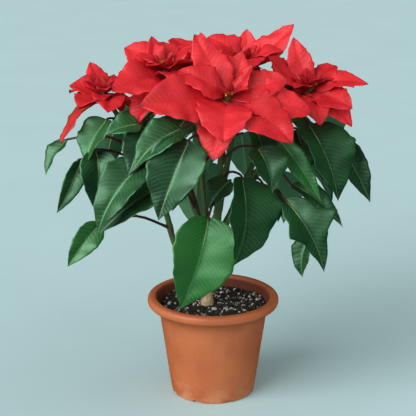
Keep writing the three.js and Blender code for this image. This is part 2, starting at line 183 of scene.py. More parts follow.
# A bract: its compass turn and its droop below level in degrees, its length, width and roll.
Bract = namedtuple("Bract", "turn droop length width roll", defaults=(0,))
# A branch: the points that its wood passes through, then its leaves and its bracts.
Branch = namedtuple("Branch", "path leaves bracts")

BRANCHES = [
    Branch(
        [(.005, -.003, .208), (.007, -.013, .242), (.008, -.029, .29), (.012, -.052, .345),
         (.015, -.07, .376)],
        [Leaf(0.28, (-.005, -.088, .252), (-.038, -.106, .146), .077, -78),
         Leaf(0.42, (.031, -.078, .296), (.023, -.104, .197), .076, -60),
         Leaf(0.55, (.048, -.082, .33), (.065, -.108, .284), .046, 12),
         Leaf(0.72, (-.026, -.095, .343), (-.061, -.124, .257), .064, -42),
         Leaf(0.84, (-.034, -.084, .352), (-.088, -.11, .312), .042, -30),
         Leaf(0.34, (.02, -.045, .281), (-.006, -.058, .25), .034, -30)],
        [Bract(252, 48, .074, .048), Bract(323, 22, .094, .058, 20), Bract(266, 22, .078, .062),
         Bract(204, -2, .104, .06, -48), Bract(356, 9, .094, .054, 38), Bract(163, 14, .092, .044, -20),
         Bract(7, -16, .07, .042, 38), Bract(140, -54, .082, .042, -28), Bract(68, -47, .062, .036),
         Bract(104, -22, .066, .044), Bract(180, -28, .062, .042, -30), Bract(20, -50, .044, .026)]),
    Branch(
        [(-.002, .002, .186), (-.013, .003, .212), (-.024, .003, .24), (-.042, .005, .312),
         (-.055, .005, .39)],
        [Leaf(0.88, (-.083, -.06, .351), (-.12, -.076, .343), .032, -25),
         Leaf(0.78, (-.07, -.06, .345), (-.095, -.09, .3), .042, -30),
         Leaf(0.62, (-.075, -.075, .312), (-.13, -.104, .236), .05, -30),
         Leaf(0.45, (-.047, -.062, .285), (-.129, -.087, .23), .05, -38),
         Leaf(0.3, (-.03, -.016, .27), (-.048, -.034, .24), .028, -20),
         Leaf(0.8, (-.031, -.04, .353), (-.055, -.06, .319), .042, -20)],
        [Bract(228, 3, .087, .052, -28), Bract(241, 34, .084, .042, -10), Bract(160, -29, .058, .046, -35),
         Bract(294, 0, .06, .044), Bract(94, -34, .052, .038), Bract(63, -24, .058, .04),
         Bract(330, -16, .06, .04), Bract(200, -30, .04, .026, -20), Bract(128, -56, .044, .026)]),
    Branch(
        [(-.007, -.002, .138), (-.026, -.007, .163), (-.046, -.01, .192), (-.058, -.01, .236),
         (-.086, -.008, .302), (-.122, -.005, .366)],
        [Leaf(0.5, (-.129, -.062, .235), (-.168, -.08, .187), .03, -60),
         Leaf(0.72, (-.134, -.046, .318), (-.131, -.07, .244), .046, -10),
         Leaf(0.66, (-.154, -.022, .3), (-.183, -.04, .239), .024, -75),
         Leaf(0.82, (-.172, .01, .316), (-.1985, -.005, .276), .026),
         Leaf(0.9, (-.121, -.032, .351), (-.146, -.06, .303), .042, -10),
         Leaf(0.75, (-.116, .03, .326), (-.136, .078, .238), .06),
         Leaf(0.8, (-.074, -.03, .35), (-.098, -.052, .314), .042)],
        [Bract(222, 33, .08, .034, 20), Bract(190, -20, .045, .04, -30), Bract(240, 2, .056, .042, -10),
         Bract(276, 6, .058, .04), Bract(320, 12, .044, .03), Bract(148, 4, .052, .038),
         Bract(100, -6, .058, .038), Bract(50, -10, .048, .032), Bract(125, -46, .044, .028)]),
    Branch(
        [(.007, .003, .228), (.013, .015, .262), (.026, .036, .33), (.035, .054, .39)],
        [Leaf(0.4, (.01, .062, .32), (-.006, .096, .25), .05),
         Leaf(0.7, (.085, .036, .342), (.116, .016, .282), .05),
         Leaf(0.72, (.01, .014, .362), (-.02, -.016, .322), .046),
         Leaf(0.62, (.042, -.008, .346), (.061, -.034, .288), .046)],
        [Bract(13, -39, .08, .041, 28), Bract(334, -24, .056, .038, 20), Bract(112, -18, .062, .042),
         Bract(280, -9, .062, .044), Bract(60, -4, .066, .04), Bract(222, -12, .056, .044, -15),
         Bract(160, -32, .054, .044, -15), Bract(252, 6, .062, .042), Bract(80, -54, .044, .026)]),
    Branch(
        [(.006, .001, .196), (.026, .002, .235), (.06, 0, .29), (.092, -.004, .345), (.108, -.005, .372)],
        [Leaf(0.7, (.074, -.06, .334), (.122, -.08, .266), .026, 50),
         Leaf(0.8, (.108, -.036, .346), (.142, -.072, .264), .07, 10),
         Leaf(0.85, (.144, -.012, .322), (.184, -.032, .25), .034, 50),
         Leaf(0.5, (.089, -.05, .278), (.148, -.075, .234), .026, 30),
         Leaf(0.36, (.08, -.074, .267), (.126, -.097, .187), .042, 42, 0.8),
         Leaf(0.64, (.096, -.018, .336), (.108, -.038, .284), .038, 10),
         Leaf(0.3, (.111, -.066, .221), (.103, -.076, .173), .026),
         Leaf(0.42, (.062, -.028, .265), (.076, -.038, .228), .028)],
        [Bract(318, 8, .064, .042, 22), Bract(320, 27, .069, .042, 12), Bract(279, 23, .066, .034),
         Bract(187, -42, .064, .046, -30), Bract(352, -8, .068, .036, 28), Bract(80, 6, .062, .04),
         Bract(30, 4, .062, .038), Bract(127, -61, .064, .03, -25), Bract(40, -28, .046, .036),
         Bract(250, -54, .034, .02)]),
    Branch(
        [(-.003, .006, .172), (-.009, .025, .222), (-.018, .06, .3), (-.024, .09, .38)],
        [Leaf(0.3, (-.02, .09, .262), (-.022, .122, .165), .072),
         Leaf(0.45, (-.07, .08, .28), (-.112, .11, .21), .062),
         Leaf(0.55, (.036, .105, .3), (.046, .145, .225), .056),
         Leaf(0.7, (-.06, .11, .34), (-.092, .16, .29), .05),
         Leaf(0.85, (-.02, .14, .355), (-.016, .178, .288), .052),
         Leaf(0.8, (-.075, .06, .345), (-.13, .066, .306), .044)],
        [Bract(95, 20, .088, .052), Bract(140, 12, .084, .05), Bract(185, 8, .074, .046),
         Bract(50, 8, .078, .046), Bract(225, -8, .058, .038), Bract(118, -26, .062, .04),
         Bract(350, -6, .05, .034), Bract(75, -44, .05, .03), Bract(300, -40, .044, .028)]),
    Branch(
        [(.004, .006, .182), (.025, .026, .228), (.06, .06, .296), (.09, .088, .356)],
        [Leaf(0.35, (.072, .088, .255), (.092, .122, .175), .062),
         Leaf(0.5, (.096, .055, .282), (.146, .052, .213), .052),
         Leaf(0.66, (.132, .062, .312), (.174, .048, .25), .05),
         Leaf(0.8, (.125, .12, .33), (.16, .155, .27), .052),
         Leaf(0.85, (.084, .14, .335), (.086, .182, .28), .05)],
        [Bract(45, 18, .084, .048), Bract(90, 14, .08, .048), Bract(355, 10, .072, .044),
         Bract(130, 2, .066, .044), Bract(12, -16, .06, .038), Bract(215, -10, .05, .034),
         Bract(100, -30, .054, .036), Bract(285, -14, .052, .034), Bract(60, -40, .042, .022)]),
]

# Leaves drawn in a lighter green than the rest: (branch, leaf) and how light, from 0 to 1.
LIGHT_LEAVES = {(1, 0): 1.0, (1, 4): 0.35, (2, 0): 0.4, (3, 0): 0.55, (3, 4): 0.45, (5, 0): 0.8, (6, 1): 0.5}
# Bracts that are still half green: (branch, bract) and how green, from 0 to 1.
GREEN_BRACTS = {(3, 0): 1.0, (6, 8): 0.3, (7, 2): 0.25}
UNDER_GREEN = 0.8
# How far leaves and bracts differ in tint, from dark to light as 0 to 1.
LEAF_TINTS = 0.25
BRACT_TINTS = 0.5

# Where the lights shine: the window from the left, the fill from above the camera, the bounce from the right.
KEY_HEADING = (0.66, 0.58, -0.48)
FILL_HEADING = (-0.25, 0.45, -0.86)
BOUNCE_HEADING = (-0.8, 0.5, -0.2)
# The camera stands in front of the plant and looks down by this many degrees.
CAMERA_PLACE = (-0.0062, -1.5, 0.695)
CAMERA_DIP = 17.1


def linear(code, alpha=1.0):
    """An sRGB hex colour as linear red, green, blue and alpha."""
    channels = [int(code[i:i + 2], 16) / 255 for i in (1, 3, 5)]
    return (*(c / 12.92 if c <= 0.04045 else ((c + 0.055) / 1.055) ** 2.4 for c in channels), alpha)


def spread(n, k):
    """An even spread of numbers from 0 to 1, the same on every run."""
    return (n * 0.618034 + k * 0.414214 + 0.27) % 1


def unit(v):
    """Vectors of length one."""
    return v / np.linalg.norm(v, axis=-1, keepdims=True)


def turned(v, axis, angle):
    """Vectors turned about unit axes by angles in radians."""
    angle = np.asarray(angle)[..., None]
    along = axis * np.sum(axis * v, axis=-1, keepdims=True)
    return v * np.cos(angle) + np.cross(axis, v) * np.sin(angle) + along * (1 - np.cos(angle))


def smooth(path, places):
    """Points on the smooth curve through a path, places running from 0 to 1 along it."""
    path = np.array(path, float)
    ends = [2 * path[0] - path[1], *path, 2 * path[-1] - path[-2]]
    points = []
    for place in places:
        step = min(int(place * (len(path) - 1)), len(path) - 2)
        w = place * (len(path) - 1) - step
        before, start, end, after = ends[step:step + 4]
        leave, arrive = (end - before) / 2, (after - start) / 2
        square = 3 * (end - start) - 2 * leave - arrive
        cube = 2 * (start - end) + leave + arrive
        points.append(start + leave * w + square * w ** 2 + cube * w ** 3)
    return np.array(points)


# Nodes and objects


def add(tree, kind, inputs=None, **settings):
    """Adds a node. settings are its own properties, inputs name its sockets and what they hold or take."""
    made = tree.nodes.new(kind)
    for name, value in settings.items():
        setattr(made, name, value)
    for key, value in (inputs or {}).items():
        socket = made.inputs[key] if isinstance(key, int) else next(
            s for s in made.inputs if s.enabled and key in (s.name, s.identifier))
        if isinstance(value, bpy.types.Node):
            value = next(s for s in value.outputs if s.enabled)
        if isinstance(value, bpy.types.NodeSocket):
            tree.links.new(value, socket)
        else:
            socket.default_value = value
    return made


def per_metre(size):
    """How many of a pattern's features fit in a metre, from the size of one in millimetres."""
    return 1000 / size


def new_material(name):
    """A material and its empty node tree."""
    made = bpy.data.materials.new(name)
    made.use_nodes = True
    made.node_tree.nodes.clear()
    return made, made.node_tree


def finish(made, sockets):
    """Ends a material with a Principled shader. sockets names its sockets and what they hold or take."""
    shader = add(made.node_tree, "ShaderNodeBsdfPrincipled", sockets)
    add(made.node_tree, "ShaderNodeOutputMaterial", {"Surface": shader})
    return made


def new_object(name, mesh):
    """An object that holds a mesh, a light or a camera, in the scene."""
    made = bpy.data.objects.new(name, mesh)
    bpy.context.scene.collection.objects.link(made)
    return made


def fuse(name, parts):
    """Several objects as one, under the first one's place."""
    with bpy.context.temp_override(active_object=parts[0], selected_editable_objects=parts):
        bpy.ops.object.join()
    parts[0].name = name
    parts[0].data.name = name
    return parts[0]


def dress(piece, node):
    """Puts a finished piece in the place of a frame node."""
    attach(piece, "root")
    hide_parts(node)


def ring_of(body, radius, height, turns, place=Matrix()):
    """A level ring of new vertices. height is a number, or a function of the angle."""
    ring = []
    for j in range(turns):
        angle = math.tau * j / turns
        level = height(angle) if callable(height) else height
        spot = Vector((radius * math.cos(angle), radius * math.sin(angle), level))
        ring.append(body.verts.new(place @ spot))
    return ring


def skirt(body, low, high):
    """Faces between two rings of as many vertices."""
    for j, (left, right) in enumerate(zip(low, high)):
        body.faces.new((left, low[(j + 1) % len(low)], high[(j + 1) % len(high)], right))


def mesh_of(body, name):
    """A smoothly shaded mesh of what has been built, whose builder is then freed."""
    mesh = bpy.data.meshes.new(name)
    body.to_mesh(mesh)
    body.free()
    mesh.shade_smooth()
    return mesh


def face_out(mesh):
    """Turns the faces of every closed shell of a mesh outwards and shades them smoothly."""
    shells = bmesh.new()
    shells.from_mesh(mesh)
    bmesh.ops.recalc_face_normals(shells, faces=shells.faces)
    shells.to_mesh(mesh)
    shells.free()
    mesh.shade_smooth()


def node_tree(name, sockets):
    """A Geometry Nodes tree that takes a geometry, a material and more named inputs, and those inputs."""
    tree = bpy.data.node_groups.new(name, "GeometryNodeTree")
    tree.interface.new_socket("Geometry", in_out="INPUT", socket_type="NodeSocketGeometry")
    tree.interface.new_socket("Geometry", in_out="OUTPUT", socket_type="NodeSocketGeometry")
    for label, kind in {**sockets, "Material": "Material"}.items():
        tree.interface.new_socket(label, in_out="INPUT", socket_type=f"NodeSocket{kind}")
    return tree, add(tree, "NodeGroupInput").outputs


def close_tree(tree, given, shape):
    """Ends a Geometry Nodes tree with a shape made real, in the material that the tree was given."""
    real = add(tree, "GeometryNodeRealizeInstances", {"Geometry": shape})
    done = add(tree, "GeometryNodeSetMaterial", {"Geometry": real, "Material": given["Material"]})
    add(tree, "NodeGroupOutput", {"Geometry": done})
    return tree


def grown(name, mesh, tree, values):
    """What a tree makes of a mesh, baked to a plain object. values are set by the sockets' identifiers."""
    source = new_object(name, mesh)
    modifier = source.modifiers.new(tree.name, "NODES")
    modifier.node_group = tree
    for socket in tree.interface.items_tree:
        if socket.in_out == "INPUT" and socket.name in values:
            modifier[socket.identifier] = values[socket.name]
    bpy.context.view_layer.update()
    result = source.evaluated_get(bpy.context.evaluated_depsgraph_get())
    baked = bpy.data.meshes.new_from_object(result, preserve_all_data_layers=True,
                                            depsgraph=bpy.context.evaluated_depsgraph_get())
    source.modifiers.clear()
    bpy.data.objects.remove(source)
    bpy.data.meshes.remove(mesh)
    baked.name = name
    return new_object(name, baked)


# Geometry Nodes trees


def stem_tree():
    """A round stem along each path of edges, as thick as the path's girth, with a slightly uneven skin."""
    tree, given = node_tree("Stem along a path",
                            {"Sides": "Int", "Unevenness": "Float", "Lump Size": "Float"})
    girth = add(tree, "GeometryNodeInputNamedAttribute", {"Name": "girth"}, data_type="FLOAT")
    path = add(tree, "GeometryNodeMeshToCurve", {"Mesh": given["Geometry"]})
    ring = add(tree, "GeometryNodeCurvePrimitiveCircle", {"Resolution": given["Sides"], "Radius": 1.0})
    skin = add(tree, "GeometryNodeCurveToMesh",
               {"Curve": path, "Profile Curve": ring, "Scale": girth, "Fill Caps": True})
    often = add(tree, "ShaderNodeMath", {0: 1.0, 1: given["Lump Size"]}, operation="DIVIDE")
    lumps = add(tree, "ShaderNodeTexNoise", {"Scale": often, "Detail": 2.0, "Roughness": 0.6})
    level = add(tree, "ShaderNodeMath", {0: lumps, 1: 0.5}, operation="SUBTRACT")
    share = add(tree, "ShaderNodeMath", {0: level, 1: given["Unevenness"]}, operation="MULTIPLY")
    depth = add(tree, "ShaderNodeMath", {0: share, 1: girth}, operation="MULTIPLY")
    normal = add(tree, "GeometryNodeInputNormal")
    push = add(tree, "ShaderNodeVectorMath", {"Vector": normal, "Scale": depth}, operation="SCALE")
    moved = add(tree, "GeometryNodeSetPosition", {"Geometry": skin, "Offset": push})
    shaded = add(tree, "GeometryNodeSetShadeSmooth", {"Geometry": moved})
    return close_tree(tree, given, shaded)


def granule_tree():
    """Angular granules scattered over the faces of a surface that lie above a level, half sunk in it."""
    tree, given = node_tree("Scattered granules", {
        "Level": "Float", "Density": "Float", "Smallest": "Float", "Largest": "Float",
        "Facets": "Int", "Seed": "Int"})
    position = add(tree, "GeometryNodeInputPosition")
    height = add(tree, "ShaderNodeSeparateXYZ", {"Vector": position}).outputs["Z"]
    middle = add(tree, "GeometryNodeFieldOnDomain", {"Value": height}, data_type="FLOAT", domain="FACE")
    above = add(tree, "ShaderNodeMath", {0: middle, 1: given["Level"]}, operation="GREATER_THAN")
    spots = add(tree, "GeometryNodeDistributePointsOnFaces",
                {"Mesh": given["Geometry"], "Selection": above, "Density": given["Density"],
                 "Seed": given["Seed"]})
    ball = add(tree, "GeometryNodeMeshUVSphere",
               {"Radius": 1.0, "Segments": given["Facets"], "Rings": 5})
    knocks = add(tree, "ShaderNodeTexNoise", {"Scale": 1.3, "Detail": 3.0})
    dent = add(tree, "ShaderNodeMath", {0: knocks, 1: 0.55}, operation="SUBTRACT")
    normal = add(tree, "GeometryNodeInputNormal")
    push = add(tree, "ShaderNodeVectorMath", {"Vector": normal, "Scale": dent}, operation="SCALE")
    stone = add(tree, "GeometryNodeSetPosition", {"Geometry": ball, "Offset": push})
    turn = add(tree, "FunctionNodeRandomValue",
               {"Min": (0, 0, 0), "Max": (math.tau, math.tau, math.tau), "Seed": given["Seed"]},
               data_type="FLOAT_VECTOR")
    size = add(tree, "FunctionNodeRandomValue",
               {"Min": given["Smallest"], "Max": given["Largest"], "Seed": given["Seed"]},
               data_type="FLOAT")
    stretch = add(tree, "FunctionNodeRandomValue",
                  {"Min": (0.75, 0.7, 0.55), "Max": (1.15, 1.0, 0.9), "Seed": given["Seed"]},
                  data_type="FLOAT_VECTOR")
    scale = add(tree, "ShaderNodeVectorMath", {"Vector": stretch, "Scale": size}, operation="SCALE")
    strewn = add(tree, "GeometryNodeInstanceOnPoints",
                 {"Points": spots, "Instance": stone, "Rotation": turn, "Scale": scale})
    shade = add(tree, "FunctionNodeRandomValue", {"Min": 0.0, "Max": 1.0, "Seed": 7}, data_type="FLOAT")
    marked = add(tree, "GeometryNodeStoreNamedAttribute",
                 {"Geometry": strewn, "Name": "shade", "Value": shade}, data_type="FLOAT", domain="INSTANCE")
    return close_tree(tree, given, marked)


def cluster_tree():
    """Copies of one flower set in a spiral round an upright axis, leaning outwards."""
    tree, given = node_tree("Flower cluster",
                            {"Count": "Int", "Ring": "Float", "Lean": "Float", "Seed": "Int"})
    points = add(tree, "GeometryNodePoints", {"Count": given["Count"]})
    index = add(tree, "GeometryNodeInputIndex")
    shift = add(tree, "ShaderNodeMath", {0: index, 1: given["Seed"]}, operation="ADD")
    angle = add(tree, "ShaderNodeMath", {0: shift, 1: math.radians(GOLDEN_ANGLE)}, operation="MULTIPLY")
    share = add(tree, "ShaderNodeMath", {0: index, 1: given["Count"]}, operation="DIVIDE")
    far = add(tree, "ShaderNodeMath", {0: share}, operation="SQRT")
    radius = add(tree, "ShaderNodeMath", {0: far, 1: given["Ring"]}, operation="MULTIPLY")
    cosine = add(tree, "ShaderNodeMath", {0: angle}, operation="COSINE")
    sine = add(tree, "ShaderNodeMath", {0: angle}, operation="SINE")
    x = add(tree, "ShaderNodeMath", {0: cosine, 1: radius}, operation="MULTIPLY")
    y = add(tree, "ShaderNodeMath", {0: sine, 1: radius}, operation="MULTIPLY")
    place = add(tree, "ShaderNodeCombineXYZ", {"X": x, "Y": y})
    placed = add(tree, "GeometryNodeSetPosition", {"Geometry": points, "Position": place})
    lean = add(tree, "ShaderNodeMath", {0: far, 1: given["Lean"]}, operation="MULTIPLY")
    turn = add(tree, "ShaderNodeCombineXYZ", {"Y": lean, "Z": angle})
    size = add(tree, "FunctionNodeRandomValue", {"Min": 0.8, "Max": 1.1, "Seed": given["Seed"]},
               data_type="FLOAT")
    copies = add(tree, "GeometryNodeInstanceOnPoints",
                 {"Points": placed, "Instance": given["Geometry"], "Rotation": turn, "Scale": size})
    return close_tree(tree, given, copies)


# Materials


def moulded_polypropylene(settings):
    """Injection-moulded polypropylene, dyed terracotta: dull, faint flow marks, dusty foot; painted shade
    inside.
    """
    made, tree = new_material("moulded terracotta polypropylene")
    place = add(tree, "ShaderNodeTexCoord").outputs["Object"]
    height = add(tree, "ShaderNodeSeparateXYZ", {"Vector": place}).outputs["Z"]
    level = add(tree, "ShaderNodeVectorMath", {0: place, 1: (1.0, 1.0, 0.0)}, operation="MULTIPLY")
    radius = add(tree, "ShaderNodeVectorMath", {"Vector": level}, operation="LENGTH").outputs["Value"]
    cloud = add(tree, "ShaderNodeTexNoise", {"Vector": place, "Scale": per_metre(45.45), "Detail": 4.0})
    # The moulded skin's own grain is too fine to show, so it is drawn this coarse.
    grain = add(tree, "ShaderNodeTexNoise", {"Vector": place, "Scale": per_metre(0.7143), "Detail": 2.0})
    # Noise over a place whose height is shrunk is drawn out upwards.
    drawn = add(tree, "ShaderNodeMapping", {"Vector": place, "Scale": (1.0, 1.0, 0.06)})
    streak = add(tree, "ShaderNodeTexNoise", {"Vector": drawn, "Scale": per_metre(6.25), "Detail": 3.0})
    shade = add(tree, "ShaderNodeMapRange", {"Value": cloud, "From Min": 0.35, "From Max": 0.65})
    body = add(tree, "ShaderNodeMix", {"Factor": shade, "A": settings.colour_dark, "B": settings.colour},
               data_type="RGBA")
    streaks = add(tree, "ShaderNodeMapRange",
                  {"Value": streak, "From Min": 0.5, "From Max": 0.75, "To Max": 0.05})
    low = add(tree, "ShaderNodeMapRange",
              {"Value": height, "From Min": 0.03, "From Max": 0.0, "To Max": 0.5})
    patches = add(tree, "ShaderNodeTexNoise",
                  {"Vector": place, "Scale": per_metre(14.286), "Detail": 6.0})
    patch = add(tree, "ShaderNodeMapRange", {"Value": patches, "From Min": 0.42, "From Max": 0.7})
    dust = add(tree, "ShaderNodeMath", {0: low, 1: patch}, operation="MULTIPLY")
    # Painted shade: the inner wall above the mix gets a darker colour and more roughness, in place of the
    # shade that falls there.
    cone = add(tree, "ShaderNodeMath", {0: radius, 1: -2.0, 2: height}, operation="MULTIPLY_ADD")
    above = add(tree, "ShaderNodeMath", {0: cone, 1: -INNER_CONE}, operation="GREATER_THAN")
    within = add(tree, "ShaderNodeMapRange",
                 {"Value": radius, "From Min": MOUTH_RADIUS + 0.002, "From Max": MOUTH_RADIUS - 0.001,
                  "To Max": 0.9})
    painted_shade = add(tree, "ShaderNodeMath", {0: above, 1: within}, operation="MULTIPLY")
    stained = body
    for share, stain in ((streaks, settings.dust_colour), (dust, settings.dust_colour),
                         (painted_shade, settings.painted_shade_colour)):
        stained = add(tree, "ShaderNodeMix", {"Factor": share, "A": stained, "B": stain},
                      data_type="RGBA")
    rough = add(tree, "ShaderNodeMapRange",
                {"Value": cloud, "From Min": 0.3, "From Max": 0.7, "To Min": 0.42, "To Max": 0.56})
    dull = add(tree, "ShaderNodeMath", {0: rough, 1: painted_shade}, operation="MAXIMUM")
    relief = add(tree, "ShaderNodeBump", {"Height": grain, "Strength": 0.12, "Distance": 0.0003})
    waves = add(tree, "ShaderNodeBump",
                {"Height": streak, "Strength": 0.2, "Distance": 0.0006, "Normal": relief})
    return finish(made, {"Base Color": stained, "Roughness": dull, "Normal": waves, "IOR": 1.49})


def peat():
    """Moist peat and bark fines: near black, crumbly, with no gloss."""
    made, tree = new_material("moist peat")
    place = add(tree, "ShaderNodeTexCoord").outputs["Object"]
    shade = add(tree, "ShaderNodeAttribute", attribute_name="shade").outputs["Fac"]
    crumbs = add(tree, "ShaderNodeTexNoise",
                 {"Vector": place, "Scale": per_metre(2.381), "Detail": 6.0, "Roughness": 0.7})
    cells = add(tree, "ShaderNodeTexVoronoi", {"Vector": place, "Scale": per_metre(1.923)})
    tone = add(tree, "ShaderNodeMath", {0: crumbs, 1: shade, 2: 0.1}, operation="MULTIPLY_ADD")
    ramp = add(tree, "ShaderNodeMapRange", {"Value": crumbs, "From Min": 0.35, "From Max": 0.7})
    earth = add(tree, "ShaderNodeMix", {"Factor": ramp, "A": linear("#0E0D0B"), "B": linear("#2C241C")},
                data_type="RGBA")
    light = add(tree, "ShaderNodeMath", {0: tone, 1: 0.5}, operation="MULTIPLY")
    mixed = add(tree, "ShaderNodeMix", {"Factor": light, "A": earth, "B": linear("#44382A")},
                data_type="RGBA")
    relief = add(tree, "ShaderNodeBump", {"Height": crumbs, "Strength": 0.7, "Distance": 0.0012})
    pits = add(tree, "ShaderNodeBump",
               {"Height": cells, "Strength": 0.5, "Distance": 0.0008, "Normal": relief})
    return finish(made, {"Base Color": mixed, "Normal": pits, "Roughness": 0.93})


def perlite():
    """Expanded perlite: white popped glass, chalky, a few grains stained grey or brown by the peat."""
    made, tree = new_material("expanded perlite")
    place = add(tree, "ShaderNodeTexCoord").outputs["Object"]
    shade = add(tree, "ShaderNodeAttribute", attribute_name="shade").outputs["Fac"]
    # Most of its pores are too fine to show, so they are drawn this coarse.
    pores = add(tree, "ShaderNodeTexNoise", {"Vector": place, "Scale": per_metre(0.6667), "Detail": 4.0})
    stained = add(tree, "ShaderNodeMapRange", {"Value": shade, "From Min": 0.35, "From Max": 0.8})
    grain = add(tree, "ShaderNodeMix",
                {"Factor": stained, "A": linear("#B8B8AE"), "B": linear("#5E5E56")}, data_type="RGBA")
    dirt = add(tree, "ShaderNodeMapRange",
               {"Value": pores, "From Min": 0.5, "From Max": 0.7, "To Max": 0.45})
    dirty = add(tree, "ShaderNodeMix", {"Factor": dirt, "A": grain, "B": linear("#5E5042")},
                data_type="RGBA")
    relief = add(tree, "ShaderNodeBump", {"Height": pores, "Strength": 0.5, "Distance": 0.0004})
    return finish(made, {"Base Color": dirty, "Normal": relief, "Roughness": 0.85})


def young_bark(settings):
    """Corky young bark: tan and cracked at the foot, smoother and greener further up, with pale scars."""
    made, tree = new_material("corky young bark")
    place = add(tree, "ShaderNodeTexCoord").outputs["Object"]
    height = add(tree, "ShaderNodeSeparateXYZ", {"Vector": place}).outputs["Z"]
    drawn = add(tree, "ShaderNodeMapping", {"Vector": place, "Scale": (1.0, 1.0, 0.3)})
    cracks = add(tree, "ShaderNodeTexNoise",
                 {"Vector": drawn, "Scale": per_metre(2.6316), "Detail": 6.0, "Roughness": 0.65})
    spots = add(tree, "ShaderNodeTexVoronoi", {"Vector": place, "Scale": per_metre(5.263)})
    grown = add(tree, "ShaderNodeMapRange", {"Value": height, "From Min": 0.113, "From Max": 0.15})
    skin = add(tree, "ShaderNodeMix",
               {"Factor": grown, "A": settings.bark_colour, "B": settings.green_colour}, data_type="RGBA")
    ridge = add(tree, "ShaderNodeMapRange",
                {"Value": cracks, "From Min": 0.35, "From Max": 0.68, "To Max": 0.75})
    cork = add(tree, "ShaderNodeMapRange",
               {"Value": spots, "From Min": 0.22, "From Max": 0.08, "To Max": 0.5})
    cracked = add(tree, "ShaderNodeMix", {"Factor": ridge, "A": skin, "B": settings.crack_colour},
                  data_type="RGBA")
    spotted = add(tree, "ShaderNodeMix", {"Factor": cork, "A": cracked, "B": linear("#C9B48C")},
                  data_type="RGBA")
    relief = add(tree, "ShaderNodeBump", {"Height": cracks, "Strength": 0.8, "Distance": 0.001})
    return finish(made, {"Base Color": spotted, "Normal": relief, "Roughness": 0.78})


def stem_skin(name, wood, stalk, rib):
    """Waxy, faintly ribbed plant skin: its colour goes from rib to stalk to wood as it thickens."""
    made, tree = new_material(name)
    place = add(tree, "ShaderNodeTexCoord").outputs["Object"]
    girth = add(tree, "ShaderNodeAttribute", attribute_name="girth").outputs["Fac"]
    blush = add(tree, "ShaderNodeTexNoise", {"Vector": place, "Scale": per_metre(16.667), "Detail": 3.0})
    fibre = add(tree, "ShaderNodeMapping", {"Vector": place, "Scale": (1.0, 1.0, 0.2)})
    lines = add(tree, "ShaderNodeTexNoise", {"Vector": fibre, "Scale": per_metre(1.4286), "Detail": 3.0})
    stalky = add(tree, "ShaderNodeMapRange", {"Value": girth, "From Min": 0.0008, "From Max": 0.0012})
    woody = add(tree, "ShaderNodeMapRange", {"Value": girth, "From Min": 0.0018, "From Max": 0.003})
    thin = add(tree, "ShaderNodeMix", {"Factor": stalky, "A": rib, "B": stalk}, data_type="RGBA")
    thick = add(tree, "ShaderNodeMix", {"Factor": woody, "A": thin, "B": wood}, data_type="RGBA")
    red = add(tree, "ShaderNodeMapRange",
              {"Value": blush, "From Min": 0.45, "From Max": 0.7, "To Max": 0.5})
    blushed = add(tree, "ShaderNodeMix", {"Factor": red, "A": thick, "B": stalk}, data_type="RGBA")
    relief = add(tree, "ShaderNodeBump", {"Height": lines, "Strength": 0.25, "Distance": 0.0004})
    return finish(made, {"Base Color": blushed, "Normal": relief, "Roughness": 0.5, "IOR": 1.45})


def veins(tree, settings):
    """From a blade's own coordinates: masks of its side veins and midrib, how near the rim, how far along."""
    blade = add(tree, "ShaderNodeAttribute", attribute_name="blade").outputs["Vector"]
    across, along, half = add(tree, "ShaderNodeSeparateXYZ", {"Vector": blade}).outputs[:3]
    side = add(tree, "ShaderNodeMath", {0: across}, operation="ABSOLUTE")
    right = add(tree, "ShaderNodeMath", {0: across, 1: 0.0}, operation="LESS_THAN")
    lean = add(tree, "ShaderNodeMath", {0: side, 1: settings.vein_arc, 2: settings.vein_lean},
               operation="MULTIPLY_ADD")
    ahead = add(tree, "ShaderNodeMath", {0: side, 1: lean}, operation="MULTIPLY")
    back = add(tree, "ShaderNodeMath", {0: along, 1: ahead}, operation="SUBTRACT")
    count = add(tree, "ShaderNodeMath", {0: back, 1: settings.vein_spacing}, operation="DIVIDE")
    place = add(tree, "ShaderNodeTexCoord").outputs["Object"]
    drift = add(tree, "ShaderNodeTexNoise", {"Vector": place, "Scale": per_metre(45.45), "Detail": 2.0})
    wander = add(tree, "ShaderNodeMapRange",
                 {"Value": drift, "From Min": 0.3, "From Max": 0.7, "To Min": -0.25, "To Max": 0.25})
    uneven = add(tree, "ShaderNodeMath", {0: count, 1: wander}, operation="ADD")
    staggered = add(tree, "ShaderNodeMath", {0: right, 1: 0.5, 2: uneven}, operation="MULTIPLY_ADD")
    off = add(tree, "ShaderNodeMath", {0: staggered, 1: 0.5}, operation="PINGPONG")
    line = add(tree, "ShaderNodeMapRange",
               {"Value": off, "From Max": settings.vein_width, "To Min": 1.0, "To Max": 0.0},
               interpolation_type="SMOOTHSTEP")
    rim = add(tree, "ShaderNodeMath", {0: side, 1: half}, operation="DIVIDE")
    inner = add(tree, "ShaderNodeMapRange", {"Value": rim, "From Min": 1.0, "From Max": 0.7})
    branch = add(tree, "ShaderNodeMath", {0: line, 1: inner}, operation="MULTIPLY")
    rib = add(tree, "ShaderNodeMapRange",
              {"Value": side, "From Min": 0.0003, "From Max": 0.001, "To Min": 1.0, "To Max": 0.0},
              interpolation_type="SMOOTHSTEP")
    return branch, rib, rim, along


def mottled(tree, settings, cloud, start, end, share):
    """A blade's colour, from dark to light by its own tint and, by up to a share, where it is cloudy."""
    tint = add(tree, "ShaderNodeAttribute", attribute_name="tint").outputs["Fac"]
    patches = add(tree, "ShaderNodeMapRange",
                  {"Value": cloud, "From Min": start, "From Max": end, "To Max": share})
    lighter = add(tree, "ShaderNodeMath", {0: tint, 1: patches}, operation="ADD", use_clamp=True)
    return add(tree, "ShaderNodeMix",
               {"Factor": lighter, "A": settings.colour_dark, "B": settings.colour_light},
               data_type="RGBA")


